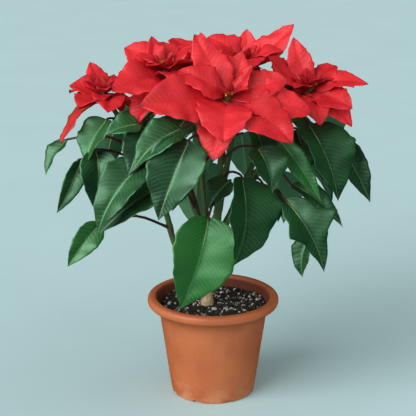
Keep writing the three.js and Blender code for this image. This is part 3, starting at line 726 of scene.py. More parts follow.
def vein_relief(tree, branch, cell, depth, strength):
    """Sunken side veins, with a fine net between them whose cells' size is in millimetres."""
    place = add(tree, "ShaderNodeTexCoord").outputs["Object"]
    net = add(tree, "ShaderNodeTexVoronoi", {"Vector": place, "Scale": per_metre(cell)},
              feature="DISTANCE_TO_EDGE")
    fine = add(tree, "ShaderNodeBump", {"Height": net, "Strength": 0.25, "Distance": depth})
    return add(tree, "ShaderNodeBump",
               {"Height": branch, "Strength": strength, "Distance": 0.0005, "Normal": fine}, invert=True)


def leaf_skin(settings):
    """Poinsettia leaf: waxy dark green above with paler veins, matt and greyer green beneath."""
    made, tree = new_material("waxy poinsettia leaf")
    place = add(tree, "ShaderNodeTexCoord").outputs["Object"]
    under = add(tree, "ShaderNodeAttribute", attribute_name="under").outputs["Fac"]
    tint = add(tree, "ShaderNodeAttribute", attribute_name="tint").outputs["Fac"]
    branch, rib, rim, _ = veins(tree, settings)
    cloud = add(tree, "ShaderNodeTexNoise", {"Vector": place, "Scale": per_metre(29.41), "Detail": 3.0})
    green = mottled(tree, settings, cloud, 0.4, 0.65, 0.2)
    worn = add(tree, "ShaderNodeMapRange", {"Value": rim, "From Min": 0.93, "To Max": 0.35})
    pale = add(tree, "ShaderNodeMapRange", {"Value": tint, "To Min": 0.1, "To Max": 0.2})
    thin = add(tree, "ShaderNodeMath", {0: branch, 1: pale}, operation="MULTIPLY")
    strong = add(tree, "ShaderNodeMath", {0: rib, 1: 0.28}, operation="MULTIPLY")
    veined = green
    for share, cover in ((worn, settings.rim_colour), (under, settings.under_colour),
                         (thin, settings.vein_colour), (strong, settings.rib_colour)):
        veined = add(tree, "ShaderNodeMix", {"Factor": share, "A": veined, "B": cover}, data_type="RGBA")
    rough = add(tree, "ShaderNodeMapRange", {"Value": under, "To Min": 0.52, "To Max": 0.75})
    relief = vein_relief(tree, branch, 1.923, 0.0006, 0.22)
    return finish(made, {"Base Color": veined, "Roughness": rough, "Normal": relief, "IOR": 1.8,
                         "Specular IOR Level": 1.0, "Specular Tint": linear("#B4F0C6")})


def bract_skin(settings):
    """Poinsettia bract: thin velvety red tissue with deeper veins, glowing a little where light passes it."""
    made, tree = new_material("velvety red bract")
    place = add(tree, "ShaderNodeTexCoord").outputs["Object"]
    under = add(tree, "ShaderNodeAttribute", attribute_name="under").outputs["Fac"]
    green = add(tree, "ShaderNodeAttribute", attribute_name="green").outputs["Fac"]
    reach = add(tree, "ShaderNodeAttribute", attribute_name="reach").outputs["Fac"]
    branch, rib, rim, along = veins(tree, settings)
    cloud = add(tree, "ShaderNodeTexNoise", {"Vector": place, "Scale": per_metre(25), "Detail": 4.0})
    red = mottled(tree, settings, cloud, 0.35, 0.65, 0.5)
    # Painted shade: each bract is darkened over its first two centimetres, towards the crowded middle of the
    # rosette where its base lies in shade.
    throat_shade = add(tree, "ShaderNodeMapRange",
                 {"Value": along, "From Min": 0.02, "From Max": 0.0, "To Max": 0.85})
    below = add(tree, "ShaderNodeMath", {0: under, 1: 0.55}, operation="MULTIPLY")
    unripe = add(tree, "ShaderNodeMapRange", {"Value": rim, "From Min": 0.15, "From Max": 0.7})
    ragged = add(tree, "ShaderNodeMath", {0: unripe, 1: cloud}, operation="MULTIPLY")
    leafy = add(tree, "ShaderNodeMath", {0: ragged, 1: green}, operation="MULTIPLY")
    thin = add(tree, "ShaderNodeMath", {0: branch, 1: 0.16}, operation="MULTIPLY")
    strong = add(tree, "ShaderNodeMath", {0: rib, 1: 0.22}, operation="MULTIPLY")
    mask = add(tree, "ShaderNodeMath", {0: thin, 1: strong}, operation="MAXIMUM")
    point = add(tree, "ShaderNodeMapRange", {"Value": reach, "From Min": 0.93, "To Max": 0.85})
    tipped = red
    for share, cover in ((throat_shade, settings.vein_colour), (below, settings.under_colour),
                         (leafy, settings.green_colour), (mask, settings.vein_colour),
                         (point, settings.tip_colour)):
        tipped = add(tree, "ShaderNodeMix", {"Factor": share, "A": tipped, "B": cover}, data_type="RGBA")
    relief = vein_relief(tree, branch, 1.613, 0.0005, 0.35)
    return finish(made, {"Base Color": tipped, "Roughness": 0.55, "Normal": relief, "IOR": 1.55,
                         "Specular IOR Level": 1.0, "Specular Tint": linear("#FFAEAE"),
                         "Subsurface Weight": settings.glow, "Subsurface Scale": 0.004,
                         "Subsurface Radius": (1.0, 0.12, 0.1)})


def flower_skin():
    """Waxy cyathium: green cup, yellow nectar gland, red stamens with yellow anthers."""
    made, tree = new_material("waxy cyathium")
    place = add(tree, "ShaderNodeTexCoord").outputs["Object"]
    organ = add(tree, "ShaderNodeAttribute", attribute_name="organ").outputs["Fac"]
    colours = add(tree, "ShaderNodeValToRGB", {"Fac": organ})
    ramp = colours.color_ramp
    ramp.interpolation = "CONSTANT"
    ramp.elements[0].color = linear("#6F8A2E")
    ramp.elements[1].position = 0.75
    ramp.elements[1].color = linear("#F0C63A")
    ramp.elements.new(0.25).color = linear("#E2B428")
    ramp.elements.new(0.5).color = linear("#C4202A")
    cloud = add(tree, "ShaderNodeTexNoise", {"Vector": place, "Scale": per_metre(2), "Detail": 2.0})
    tipped = add(tree, "ShaderNodeMapRange",
                 {"Value": cloud, "From Min": 0.5, "From Max": 0.7, "To Max": 0.5})
    mixed = add(tree, "ShaderNodeMix",
                {"Factor": tipped, "A": colours.outputs["Color"], "B": linear("#A8551E")},
                data_type="RGBA")
    relief = add(tree, "ShaderNodeBump", {"Height": cloud, "Strength": 0.3, "Distance": 0.0003})
    return finish(made, {"Base Color": mixed, "Normal": relief, "Roughness": 0.4, "IOR": 1.45})


def studio_paper(settings):
    """Seamless background paper: matt, pale, with the faintest fibre."""
    made, tree = new_material("seamless studio paper")
    place = add(tree, "ShaderNodeTexCoord").outputs["Object"]
    fibre = add(tree, "ShaderNodeTexNoise", {"Vector": place, "Scale": per_metre(166.67), "Detail": 5.0})
    paper = add(tree, "ShaderNodeMix",
                {"Factor": fibre, "A": settings.floor_colour, "B": settings.floor_light},
                data_type="RGBA")
    return finish(made, {"Base Color": paper, "Roughness": 0.9})


# Blades

# A laid blade: its mesh, (across, along, half width) and more marks at each vertex, and the line under its
# midrib.
Blade = namedtuple("Blade", "verts faces coordinates marks midline")


def half_width(shape, width, lobe, x, waver):
    """Half a blade's width at x, waver being a small share that it wanders by."""
    peak = shape.rise / (shape.rise + shape.fall)
    curve = x ** shape.rise * (1 - x) ** shape.fall / (peak ** shape.rise * (1 - peak) ** shape.fall)
    tooth = 1 + lobe * np.maximum(0, 1 - np.abs(x - LOBE_PLACE) / LOBE_REACH)
    least = ROOT_HALF_WIDTH + (TIP_HALF_WIDTH - ROOT_HALF_WIDTH) * x
    return np.maximum(least, width / 2 * tooth * curve * (1 + waver))


def lay_blade(shape, settings, root, chord, width, roll, lobe, seed):
    """A blade as a closed, folded, arched and waved sheet, puffed up between its side veins."""
    length = np.linalg.norm(chord)
    ahead = chord / length
    level = math.hypot(ahead[0], ahead[1])

    def vary(k):
        return spread(seed, k) - 0.5

    up = np.array([-ahead[2] * ahead[0] / level, -ahead[2] * ahead[1] / level, level])
    up = turned(up, ahead, math.radians(roll + ROLL_RANGE * vary(1)))
    left = np.cross(up, ahead)
    cup = CUP if ahead[2] > STEEP else 1
    bow = length * shape.bow * cup * (1 + BOW_RANGE * vary(2))
    sway = length * SWAY_RANGE * vary(3)
    twist = math.radians(TWIST_RANGE * vary(4))
    neck = shape.neck / length

    rows = int(np.clip(DETAIL * length / ROW_STEP, *ROW_LIMITS))
    columns = 2 * int(np.clip(DETAIL * width / COLUMN_STEP / 2, *COLUMN_LIMITS))
    even = np.linspace(0, 1, rows + 1)
    x = (1 - CROWDING) * even + CROWDING * (1 - np.cos(math.pi * even)) / 2
    u = np.linspace(1, -1, columns + 1)
    t = neck + (1 - neck) * x
    arch = (4 * t * (1 - t))[:, None]
    slope = (4 * (1 - 2 * t))[:, None]
    middle = root + ahead * length * t[:, None] + (up * bow + left * sway) * arch
    along = unit(ahead * length + (up * bow + left * sway) * slope)
    normal = unit(up - along * (along @ up)[:, None])
    normal = turned(normal, along, twist * t)
    side = np.cross(normal, along)

    hand = np.sign(u)[None, :]
    phase = np.where(u > 0, spread(seed, 6), np.where(u < 0, spread(seed, 4), 0))[None, :]
    place = x[:, None]
    waver = shape.ruffle * (np.sin(math.tau * (RIM_WAVES[0] * place + phase))
                            + SECOND_WAVE * np.sin(math.tau * (RIM_WAVES[1] * place - phase)))
    half = half_width(shape, width, lobe, place, waver)
    reach = np.abs(u)[None, :]
    fold = math.sin(math.radians(shape.fold)) * (np.sqrt(reach ** 2 + FOLD_ROUND ** 2) - FOLD_ROUND)
    ripple = np.sin(math.tau * (shape.waves * t[:, None] + phase))
    frill = np.sin(math.tau * (FRILL_WAVES * shape.waves * t[:, None] + 2 * phase))
    lift = half * (fold - shape.curl * reach ** 2 + shape.wave * reach ** 2 * ripple
                   + shape.ruffle * reach ** 3 * frill)
    run = (1 - neck) * length * place
    off = reach * half
    count = (run - settings.vein_lean * off - settings.vein_arc * off ** 2) / settings.vein_spacing
    puff = np.abs(np.sin(math.pi * (count + 0.5 * (hand < 0)))) ** 0.8 * (1 - reach ** 4)
    broad = np.sin(run / DENT_LENGTHS[0] + math.tau * phase) * np.sin(DENT_TURNS[0] * u + math.tau * vary(8))
    close = np.sin(run / DENT_LENGTHS[1] + DENT_TURNS[1] * u + math.tau * vary(9))
    dents = broad + SECOND_WAVE * close
    inland = np.clip(off / RIB_CALM, 0, 1) * np.clip(half / NARROW, 0, 1)
    lift = lift + (settings.quilting * puff + shape.crumple * dents) * inland

    sideways = half * u[None, :]
    top = middle[:, None] + side[:, None] * sideways[..., None] + normal[:, None] * lift[..., None]
    thick = shape.thickness * (1 - RIM_THINNING * reach ** 2) * np.ones_like(half)
    bottom = top - normal[:, None] * thick[..., None]

    across = columns + 1
    cells = (rows + 1) * across
    verts = np.concatenate([top.reshape(-1, 3), bottom.reshape(-1, 3)])
    at = np.arange(cells).reshape(rows + 1, across)
    quads = np.stack([at[:-1, :-1], at[:-1, 1:], at[1:, 1:], at[1:, :-1]], axis=-1).reshape(-1, 4)
    rim = np.concatenate([at[:, 0], at[-1, 1:], at[-2::-1, -1], at[0, -2:0:-1]])
    after = np.roll(rim, -1)
    walls = np.stack([rim, after, after + cells, rim + cells], axis=-1)
    faces = np.concatenate([quads, quads[:, ::-1] + cells, walls])
    width_here = half * np.ones_like(reach)
    blade = np.stack([sideways, run * np.ones_like(reach), width_here], axis=-1).reshape(-1, 3)
    marks = {"under": np.repeat([0.0, 1.0], cells), "reach": np.tile(np.repeat(x, across), 2)}
    midline = bottom[:, columns // 2] + normal * RIB_SINK
    return Blade(verts, faces, np.tile(blade, (2, 1)), marks, midline)


def sheet_of_blades(name, blades, tints, greens, skin):
    """One mesh object from several blades, each with its tint and how green it is."""
    counts = [len(blade.verts) for blade in blades]
    offsets = np.cumsum([0] + counts)
    verts = np.concatenate([blade.verts for blade in blades])
    faces = np.concatenate([blade.faces + offset for blade, offset in zip(blades, offsets)])
    mesh = bpy.data.meshes.new(name)
    mesh.from_pydata(verts.tolist(), [], faces.tolist())
    marks = {label: np.concatenate([blade.marks[label] for blade in blades]) for label in blades[0].marks}
    marks["tint"] = np.repeat(tints, counts)
    marks["green"] = np.repeat(greens, counts)
    for label, numbers in marks.items():
        mesh.attributes.new(label, "FLOAT", "POINT").data.foreach_set("value", numbers.astype(np.float32))
    places = np.concatenate([blade.coordinates for blade in blades]).astype(np.float32)
    mesh.attributes.new("blade", "FLOAT_VECTOR", "POINT").data.foreach_set("vector", places.ravel())
    face_out(mesh)
    mesh.materials.append(skin)
    return new_object(name, mesh)


def grow_stems(name, paths, skin, sides=10, unevenness=0.12):
    """Round stems along paths, each a list of points and their girths, by Geometry Nodes."""
    verts, edges, girths = [], [], []
    for points, girth in paths:
        first = len(verts)
        verts.extend(points.tolist())
        edges.extend((first + i, first + i + 1) for i in range(len(points) - 1))
        girths.extend(girth)
    mesh = bpy.data.meshes.new(name)
    mesh.from_pydata(verts, edges, [])
    mesh.attributes.new("girth", "FLOAT", "POINT").data.foreach_set("value", np.array(girths, np.float32))
    tree = bpy.data.node_groups.get("Stem along a path") or stem_tree()
    values = {"Sides": sides, "Unevenness": unevenness, "Lump Size": LUMP_SIZE, "Material": skin}
    return grown(name, mesh, tree, values)


def rib_knots(midline, places):
    """Points of a blade's midline, places running from 0 to 1 along it."""
    return [midline[int(place * (len(midline) - 1))] for place in places]


def leaf_stalk(start, root, midline):
    """A leaf stalk that arches from the branch to the blade and runs on beneath it as its midrib."""
    crest = (start + root) / 2
    crest[2] += STALK_ARCH * np.linalg.norm(root - start)
    knots = [start, crest, root, *rib_knots(midline, LEAF_RIB)]
    places = np.linspace(0, 1, 29)
    # The stalk's swollen foot ends a quarter of the way to the crest.
    girth = np.interp(places * (len(knots) - 1), [0, 0.25, *range(1, len(knots))],
                      np.array(LEAF_TAPER) * STALK_RADIUS)
    return smooth(knots, places), girth


def swollen(girth, far, rise, reach):
    """Girths that swell by a share, rise, where far is zero, and fade within about a reach of it."""
    return girth * (1 + rise * np.exp(-(far / reach) ** 2))


def branch_wood(branch):
    """A branch's own wood, swollen a little where each leaf stalk leaves it."""
    places = np.linspace(0, 1, 60)
    girth = BRANCH_RADII[0] + (BRANCH_RADII[1] - BRANCH_RADII[0]) * places
    for spec in branch.leaves:
        girth = swollen(girth, places - spec.up, *JOINT_SWELL)
    return smooth(branch.path, places), girth


# Settings


def colour(name, description, code):
    """A colour property with its default as an sRGB hex code."""
    return FloatVectorProperty(name=name, description=description, subtype="COLOR", size=4, min=0, max=1,
                               default=linear(code))


def metres(name, description, value):
    """A length property in metres."""
    return FloatProperty(name=name, description=description, default=value, min=0, unit="LENGTH",
                         subtype="DISTANCE", precision=5)


def amount(name, description, value, **limits):
    """A plain number."""
    return FloatProperty(name=name, description=description, default=value, **limits)


def whole(name, description, value, least=0):
    """A whole number."""
    return IntProperty(name=name, description=description, default=value, min=least)


class PotSettings(PropertyGroup):
    """The flower pot."""

    turns: whole("Segments", "Faces round the pot", 144, 24)
    height: metres("Height", "Height of the pot over its lip", POT_HEIGHT)
    lip_radius: metres("Lip radius", "Outer radius of the turned-down lip", LIP_RADIUS)
    base_radius: metres("Base radius", "Radius of the foot", BASE_RADIUS)
    colour: colour("Body colour", "Terracotta dye of the plastic", "#BA673B")
    colour_dark: colour("Shade colour", "Deeper patches of the dye", "#AE5B34")
    dust_colour: colour("Dust colour", "Dry dust and lime on the plastic", "#D9A07A")
    # Painted shade laid on the inner wall above the mix, darker than the plastic itself.
    painted_shade_colour: colour("Painted shade colour", "Inner wall over the mix, damp and stained", "#4A1A0C")


class SoilSettings(PropertyGroup):
    """The potting mix."""

    perlite_density: amount("Perlite density", "Perlite grains a square metre", 24000, min=0)
    perlite_size: metres("Perlite size", "Radius of the largest perlite grains", 0.003)
    crumb_density: amount("Crumb density", "Peat crumbs a square metre", 90000, min=0)
    crumb_size: metres("Crumb size", "Radius of the largest peat crumbs", 0.0026)
    seed: whole("Seed", "Which scatter of granules", 5)


class StemSettings(PropertyGroup):
    """Main stem, branches and stalks."""

    sides: whole("Sides", "Faces round a branch", 14, 6)
    bark_colour: colour("Bark", "Corky bark at the foot of the stem", "#C4AE88")
    crack_colour: colour("Bark cracks", "Cracks in the bark", "#7A6444")
    green_colour: colour("Upper stem", "Stem above the bark", "#6F7442")
    branch_colour: colour("Branch", "Skin of the side branches", "#4C6A38")
    stalk_colour: colour("Leaf stalk", "Skin of the leaf stalks", "#4E2A26")
    rib_colour: colour("Rib", "Midribs under the leaves", "#8FA56A")


class LeafSettings(PropertyGroup):
    """Leaves."""

    quilting: metres("Quilting", "How far the tissue puffs up between side veins", 0.0006)
    vein_spacing: metres("Vein spacing", "Distance between side veins", 0.0052)
    vein_width: amount("Vein width", "Half a side vein's width against the spacing", 0.13, min=0, max=0.5)
    vein_lean: amount("Vein lean", "How far side veins run forwards as they leave the midrib", 0.45)
    vein_arc: amount("Vein arc", "How fast side veins bend forwards, per metre", 14)
    colour_dark: colour("Dark green", "Mature leaf, upper face", "#022818")
    colour_light: colour("Light green", "Young leaf, upper face", "#20691F")
    under_colour: colour("Underside", "Leaf, lower face", "#3E6E48")
    rim_colour: colour("Rim", "Leaf edge", "#4E7A40")
    vein_colour: colour("Side veins", "Side veins, upper face", "#8DB77C")
    rib_colour: colour("Midrib", "Midrib, upper face", "#7E9F6C")


class BractSettings(PropertyGroup):
    """Red bracts."""

    quilting: metres("Quilting", "How far the tissue puffs up between side veins", 0.00055)
    vein_spacing: metres("Vein spacing", "Distance between side veins", 0.0056)
    vein_width: amount("Vein width", "Half a side vein's width against the spacing", 0.1, min=0, max=0.5)
    vein_lean: amount("Vein lean", "How far side veins run forwards as they leave the midrib", 0.45)
    vein_arc: amount("Vein arc", "How fast side veins bend forwards, per metre", 16)
    glow: amount("Glow", "Share of light that gets through the tissue", 0.15, min=0, max=1, subtype="FACTOR")
    inner: whole("Inner bracts", "Small bracts round each flower cluster", 8)
    under: whole("Under bracts", "Small half green bracts below the rosette", 8)
    colour_dark: colour("Deep red", "Bract in its darker patches", "#B4030F")
    colour_light: colour("Bright red", "Bract in its lighter patches", "#EC2531")
    under_colour: colour("Underside", "Bract, lower face", "#B4303A")
    # This colour is also laid over the base of each bract as painted shade.
    vein_colour: colour("Veins", "Veins and throat of a bract", "#84060F")
    tip_colour: colour("Tip", "Withered point of a bract", "#5A1216")
    green_colour: colour("Unripe green", "Margins of a bract that is still turning", "#213E16")


class FlowerSettings(PropertyGroup):
    """Flower clusters."""

    count: whole("Flowers", "Flowers in a cluster", 7, 1)
    ring: metres("Ring", "Radius that the flowers stand within", 0.003)
    size: amount("Size", "Size of one flower against a full-grown one", 0.72, min=0.1, max=1.5)


class StageSettings(PropertyGroup):
    """Floor, lights and camera."""

    floor_size: metres("Floor", "Width of the floor", 200.0)
    floor_colour: colour("Floor colour", "Pale studio paper", "#ACC6C8")
    floor_light: colour("Floor light patches", "Lighter fibre of the paper", "#B4CED0")
    sky_colour: colour("Sky colour", "Soft light from all round", "#DDEEEE")
    sky_strength: amount("Sky strength", "Soft light from all round", 0.3, min=0)
    key_strength: amount("Key strength", "Window light from the left", 3.2, min=0)
    key_spread: amount("Key spread", "Width of the window light in degrees", 50, min=0, max=180)
    fill_strength: amount("Fill strength", "Soft light from above the camera", 0.85, min=0)
    bounce_strength: amount("Bounce strength", "Weak light thrown back from the right", 0.9, min=0)
    fill_spread: amount("Fill spread", "Width of the fill in degrees", 120, min=0, max=180)
    lens: amount("Lens", "Focal length in millimetres", 113.3, min=10)


SETTINGS = {"pot": PotSettings, "soil": SoilSettings, "stem": StemSettings, "leaves": LeafSettings,
            "bracts": BractSettings, "flowers": FlowerSettings, "stage": StageSettings}


# Operators


class MakePot(Operator):
    """Turns the pot with its lip, drain holes and foot notches"""

    bl_idname = "poinsettia.pot"
    bl_label = "Flower pot"

    def execute(self, context):
        settings = context.scene.poinsettia_pot
        pot = turned_shell("pot", pot_profile(settings), settings.turns)
        cut_drains(pot, settings)
        pot.data.materials.append(moulded_polypropylene(settings))
        dress(pot, "flower_pot")
        return {"FINISHED"}


def arc(x, z, radius, start, end, steps=6):
    """Points on an arc about (x, z), from one angle in degrees to another."""
    angles = np.radians(np.linspace(start, end, steps))
    return [(x + radius * math.cos(a), z + radius * math.sin(a)) for a in angles]


def pot_profile(settings):
    """Radius and height along the pot's section, from the middle of its underside to that of its floor."""
    height, lip, base = settings.height, settings.lip_radius, settings.base_radius
    under = height - LIP_DROP
    bead = arc(lip - LIP_ROUND, under + LIP_ROUND, LIP_ROUND, FLARE_END - 180, 0, 8)
    top = math.radians(FLARE_END)
    hollow = arc(bead[0][0] - LIP_FLARE * math.cos(top), bead[0][1] - LIP_FLARE * math.sin(top), LIP_FLARE,
                 FLARE_START, FLARE_END, 10)
    flare = hollow[0][1]

    def wall(z):
        return base + (SHOULDER_RADIUS - base) * z / SHOULDER_HEIGHT

    return [
        (0, 0),
        (base * 0.5, 0),
        *arc(base - FOOT_ROUND, FOOT_ROUND, FOOT_ROUND, -90, 0),
        *[(wall(flare * k / 8), flare * k / 8) for k in range(1, 8)],
        *hollow,
        *bead,
        *arc(lip - LIP_ROUND, height - LIP_ROUND, LIP_ROUND, 0, 90, 8),
        *arc(MOUTH_RADIUS + MOUTH_ROUND, height - MOUTH_ROUND, MOUTH_ROUND, 90, 150),
        (SHOULDER_RADIUS - WALL + WALL_STEP, SHOULDER_HEIGHT + 0.001),
        (SHOULDER_RADIUS - WALL, SHOULDER_HEIGHT),
        (base - WALL + WALL_STEP, FLOOR + 2 * CORNER_ROUND),
        *arc(base - WALL - CORNER_ROUND, FLOOR + CORNER_ROUND, CORNER_ROUND, 0, -90),
        (base * 0.5, FLOOR),
        (0, FLOOR),
    ]


def turned_shell(name, profile, turns):
    """A closed shell of revolution about the Z axis."""
    shell = bmesh.new()
    corners = [shell.verts.new((r, 0, z)) for r, z in profile]
    edges = [shell.edges.new(pair) for pair in zip(corners, corners[1:])]
    bmesh.ops.spin(shell, geom=corners + edges, cent=(0, 0, 0), axis=(0, 0, 1), angle=math.tau, steps=turns)
    bmesh.ops.remove_doubles(shell, verts=shell.verts, dist=1e-6)
    bmesh.ops.recalc_face_normals(shell, faces=shell.faces)
    return new_object(name, mesh_of(shell, name))


def cut_drains(pot, settings):
    """Cuts the drain holes through the floor and the notches under the foot."""
    cutters = bmesh.new()
    for k in range(DRAIN_COUNT):
        turn = math.tau * k / DRAIN_COUNT
        place = Matrix.Translation((DRAIN_RING * math.cos(turn), DRAIN_RING * math.sin(turn), 0))
        bmesh.ops.create_cone(cutters, cap_ends=True, segments=32, radius1=DRAIN_RADIUS, radius2=DRAIN_RADIUS,
                              depth=4 * FLOOR, matrix=place)
    for k in range(NOTCH_COUNT):
        turn = Matrix.Rotation(math.tau * (k + 0.5) / NOTCH_COUNT, 4, "Z")
        out = Matrix.Translation((settings.base_radius, 0, 0))
        size = Matrix.Diagonal((2 * NOTCH_DEPTH, NOTCH_WIDTH, 2 * NOTCH_HEIGHT, 1))
        bmesh.ops.create_cube(cutters, size=1, matrix=turn @ out @ size)
    mesh = bpy.data.meshes.new("drain cutters")
    cutters.to_mesh(mesh)
    cutters.free()
    tool = new_object("drain cutters", mesh)
    cut = pot.modifiers.new("drains", "BOOLEAN")
    cut.object = tool
    cut.operation = "DIFFERENCE"
    cut.solver = "EXACT"
    bpy.context.view_layer.update()
    depsgraph = bpy.context.evaluated_depsgraph_get()
    result = bpy.data.meshes.new_from_object(pot.evaluated_get(depsgraph))
    pot.modifiers.clear()
    pot.data = result
    bpy.data.objects.remove(tool)
    result.set_sharp_from_angle(angle=math.radians(35))


class MakeSoil(Operator):
    """Fills the pot with peat and strews perlite and crumbs over it"""

    bl_idname = "poinsettia.soil"
    bl_label = "Potting mix"

    def execute(self, context):
        settings = context.scene.poinsettia_soil
        earth = peat()
        fill = soil_fill("soil", earth)
        tree = granule_tree()
        level = SOIL_TOP - 4 * SOIL_SWELL
        crumbs = grown("crumbs", fill.data.copy(), tree, {
            "Level": level, "Density": settings.crumb_density, "Smallest": 0.35 * settings.crumb_size,
            "Largest": settings.crumb_size, "Facets": 6, "Seed": settings.seed, "Material": earth})
        grains = grown("perlite", fill.data.copy(), tree, {
            "Level": level, "Density": settings.perlite_density, "Smallest": 0.22 * settings.perlite_size,
            "Largest": settings.perlite_size, "Facets": 9, "Seed": settings.seed + 1, "Material": perlite()})
        grains.data.shade_smooth()
        dress(fuse("soil", [fill, crumbs, grains]), "potting_soil")
        return {"FINISHED"}


def soil_fill(name, skin):
    """The body of the mix, its top swollen and crumbly, down to the pot's floor."""
    rings, turns = 34, 120

    def wall(z):
        share = (z - FLOOR) / (SHOULDER_HEIGHT - FLOOR)
        return BASE_RADIUS + (SHOULDER_RADIUS - BASE_RADIUS) * share - WALL - SOIL_CLEARANCE

    def top(radius, angle):
        inwards = 4 * (1 - radius / wall(SOIL_TOP))
        swell = SOIL_SWELL * math.sin(3 * angle + 2 * inwards) + SOIL_RIPPLE * math.cos(5 * angle - inwards)
        spot = Vector((radius * math.cos(angle), radius * math.sin(angle), 0))
        lumps = SOIL_LUMP * noise.fractal(spot * SOIL_LUMPS, 0.8, 2.2, 5)
        return SOIL_TOP + swell * min(1, radius / SOIL_CALM) + lumps

    body = bmesh.new()
    last = ring_of(body, wall(FLOOR), FLOOR + SOIL_CLEARANCE, turns)
    body.faces.new(last[::-1])
    for i in range(rings):
        radius = wall(SOIL_TOP) * (1 - i / rings)
        ring = ring_of(body, radius, lambda angle: top(radius, angle), turns)
        skirt(body, last, ring)
        last = ring
    crown = body.verts.new((0, 0, top(0, 0)))
    for j in range(turns):
        body.faces.new((last[j], last[(j + 1) % turns], crown))
    mesh = mesh_of(body, name)
    face_out(mesh)
    mesh.materials.append(skin)
    return new_object(name, mesh)


class MakeStem(Operator):
    """Grows the woody main stem"""

    bl_idname = "poinsettia.stem"
    bl_label = "Main stem"

    def execute(self, context):
        settings = context.scene.poinsettia_stem
        places = np.linspace(0, 1, 110)
        points = smooth(TRUNK_PATH, places)
        girth = TRUNK_RADII[0] + (TRUNK_RADII[1] - TRUNK_RADII[0]) * places
        girth = swollen(girth, points[:, 2] - SOIL_TOP, *FOOT_SWELL)
        for scar in SCARS:
            girth = swollen(girth, points[:, 2] - scar, *SCAR_SWELL)
        stem = grow_stems("stem", [(points, girth)], young_bark(settings), sides=36, unevenness=0.5)
        dress(stem, "main_stem")
        return {"FINISHED"}


class MakeFoliage(Operator):
    """Grows each side branch with its leaf stalks and leaves"""

    bl_idname = "poinsettia.foliage"
    bl_label = "Leafy branches"

    def execute(self, context):
        stems, settings = context.scene.poinsettia_stem, context.scene.poinsettia_leaves
        wood = stem_skin("waxy green stem", stems.branch_colour, stems.stalk_colour, stems.rib_colour)
        skin = leaf_skin(settings)
        for number, branch in enumerate(BRANCHES, 1):
            blades, tints = [], []
            paths = [branch_wood(branch)]
            for k, spec in enumerate(branch.leaves):
                root, tip = np.array(spec.root), np.array(spec.tip)
                seed = 10 * number + k
                laid = lay_blade(LEAF, settings, root, tip - root, spec.width, spec.roll, spec.lobe, seed)
                blades.append(laid)
                tints.append(LIGHT_LEAVES.get((number, k), LEAF_TINTS * spread(seed, 7)))
                paths.append(leaf_stalk(smooth(branch.path, [spec.up])[0], root, laid.midline))
            sheet = sheet_of_blades("leaf blades", blades, tints, [0] * len(blades), skin)
            stalks = grow_stems("leaf stalks", paths, wood, stems.sides)
            dress(fuse(f"foliage_{number}", [sheet, stalks]), f"leafy_branch_{number}")
        return {"FINISHED"}


class MakeBracts(Operator):
    """Sets the rosette of bracts on each branch"""

    bl_idname = "poinsettia.bracts"
    bl_label = "Bract rosettes"

    def execute(self, context):
        stems, settings = context.scene.poinsettia_stem, context.scene.poinsettia_bracts
        skin = bract_skin(settings)
        wood = stem_skin("waxy red stalk", stems.branch_colour, linear("#A81C28"), settings.vein_colour)
        for number, branch in enumerate(BRANCHES, 1):
            crown, hub, axis = hub_of(branch)
            blades, tints, greens = [], [], []
            paths = [(np.linspace(crown, hub, 8), np.linspace(BRANCH_RADII[1], HUB_RADIUS, 8))]
            young = inner_bracts(settings.inner, number)
            lowest = under_bracts(settings.under, number)
            for k, spec in enumerate([*branch.bracts, *young, *lowest]):
                turn, droop = math.radians(spec.turn), math.radians(spec.droop)
                heading = np.array([math.cos(turn), math.sin(turn), 0])
                above = k - len(branch.bracts)
                below = above - len(young)
                if above < 0:
                    shape, drop = BRACT, HUB_DROP - HUB_STEP * k
                elif below < 0:
                    shape, drop = INNER_BRACT, (HUB_DROP - HUB_STEP * above) / 2
                else:
                    shape, drop = UNDER_BRACT, HUB_DROP + HUB_STEP * below / 4
                root = hub - axis * drop + heading * HUB_RADIUS / 4
                chord = heading * math.cos(droop) - np.array([0, 0, math.sin(droop)])
                seed = 10 * number + k + 5
                laid = lay_blade(shape, settings, root, chord * spec.length, spec.width, spec.roll, 0, seed)
                blades.append(laid)
                tints.append(BRACT_TINTS * spread(seed, 7))
                greens.append(UNDER_GREEN if below >= 0 else GREEN_BRACTS.get((number, k), 0))
                paths.append(bract_stalk(root, laid.midline))
            sheet = sheet_of_blades("bract blades", blades, tints, greens, skin)
            stalks = grow_stems("bract stalks", paths, wood, stems.sides)
            dress(fuse(f"bracts_{number}", [sheet, stalks]), f"bract_rosette_{number}")
        return {"FINISHED"}


def hub_of(branch):
    """A branch's crown, the top of its hub above that, and the direction that it points in."""
    path = np.array(branch.path)
    axis = unit(path[-1] - path[-2])
    crown = path[-1] + axis * GAP
    return crown, crown + axis * HUB_LENGTH, axis


def inner_bracts(count, number):
    """The smallest bracts: each stands steeper and is shorter than the last, close round the flowers."""
    bracts = []
    for k in range(count):
        turn, droop = GOLDEN_ANGLE * k + 47 * number, -12 - 58 * k / count
        bracts.append(Bract(turn, droop, 0.036 - 0.0022 * k, 0.021 - 0.0013 * k))
    return bracts


def under_bracts(count, number):
    """Small dull bracts, half green, that close the rosette from below: every other one short and level."""
    sizes = ((2, 0.024, 0.019), (17, 0.036, 0.022))
    return [Bract(GOLDEN_ANGLE * k + 20 * number, *sizes[k % 2]) for k in range(count)]


def bract_stalk(root, midline):
    """A bract's short stalk, which runs on beneath it as its midrib."""
    knots = [root, *rib_knots(midline, BRACT_RIB)]
    places = np.linspace(0, 1, 19)
    girth = np.interp(places * (len(knots) - 1), range(len(knots)),
                      np.array(BRACT_TAPER) * BRACT_STALK_RADIUS)
    return smooth(knots, places), girth


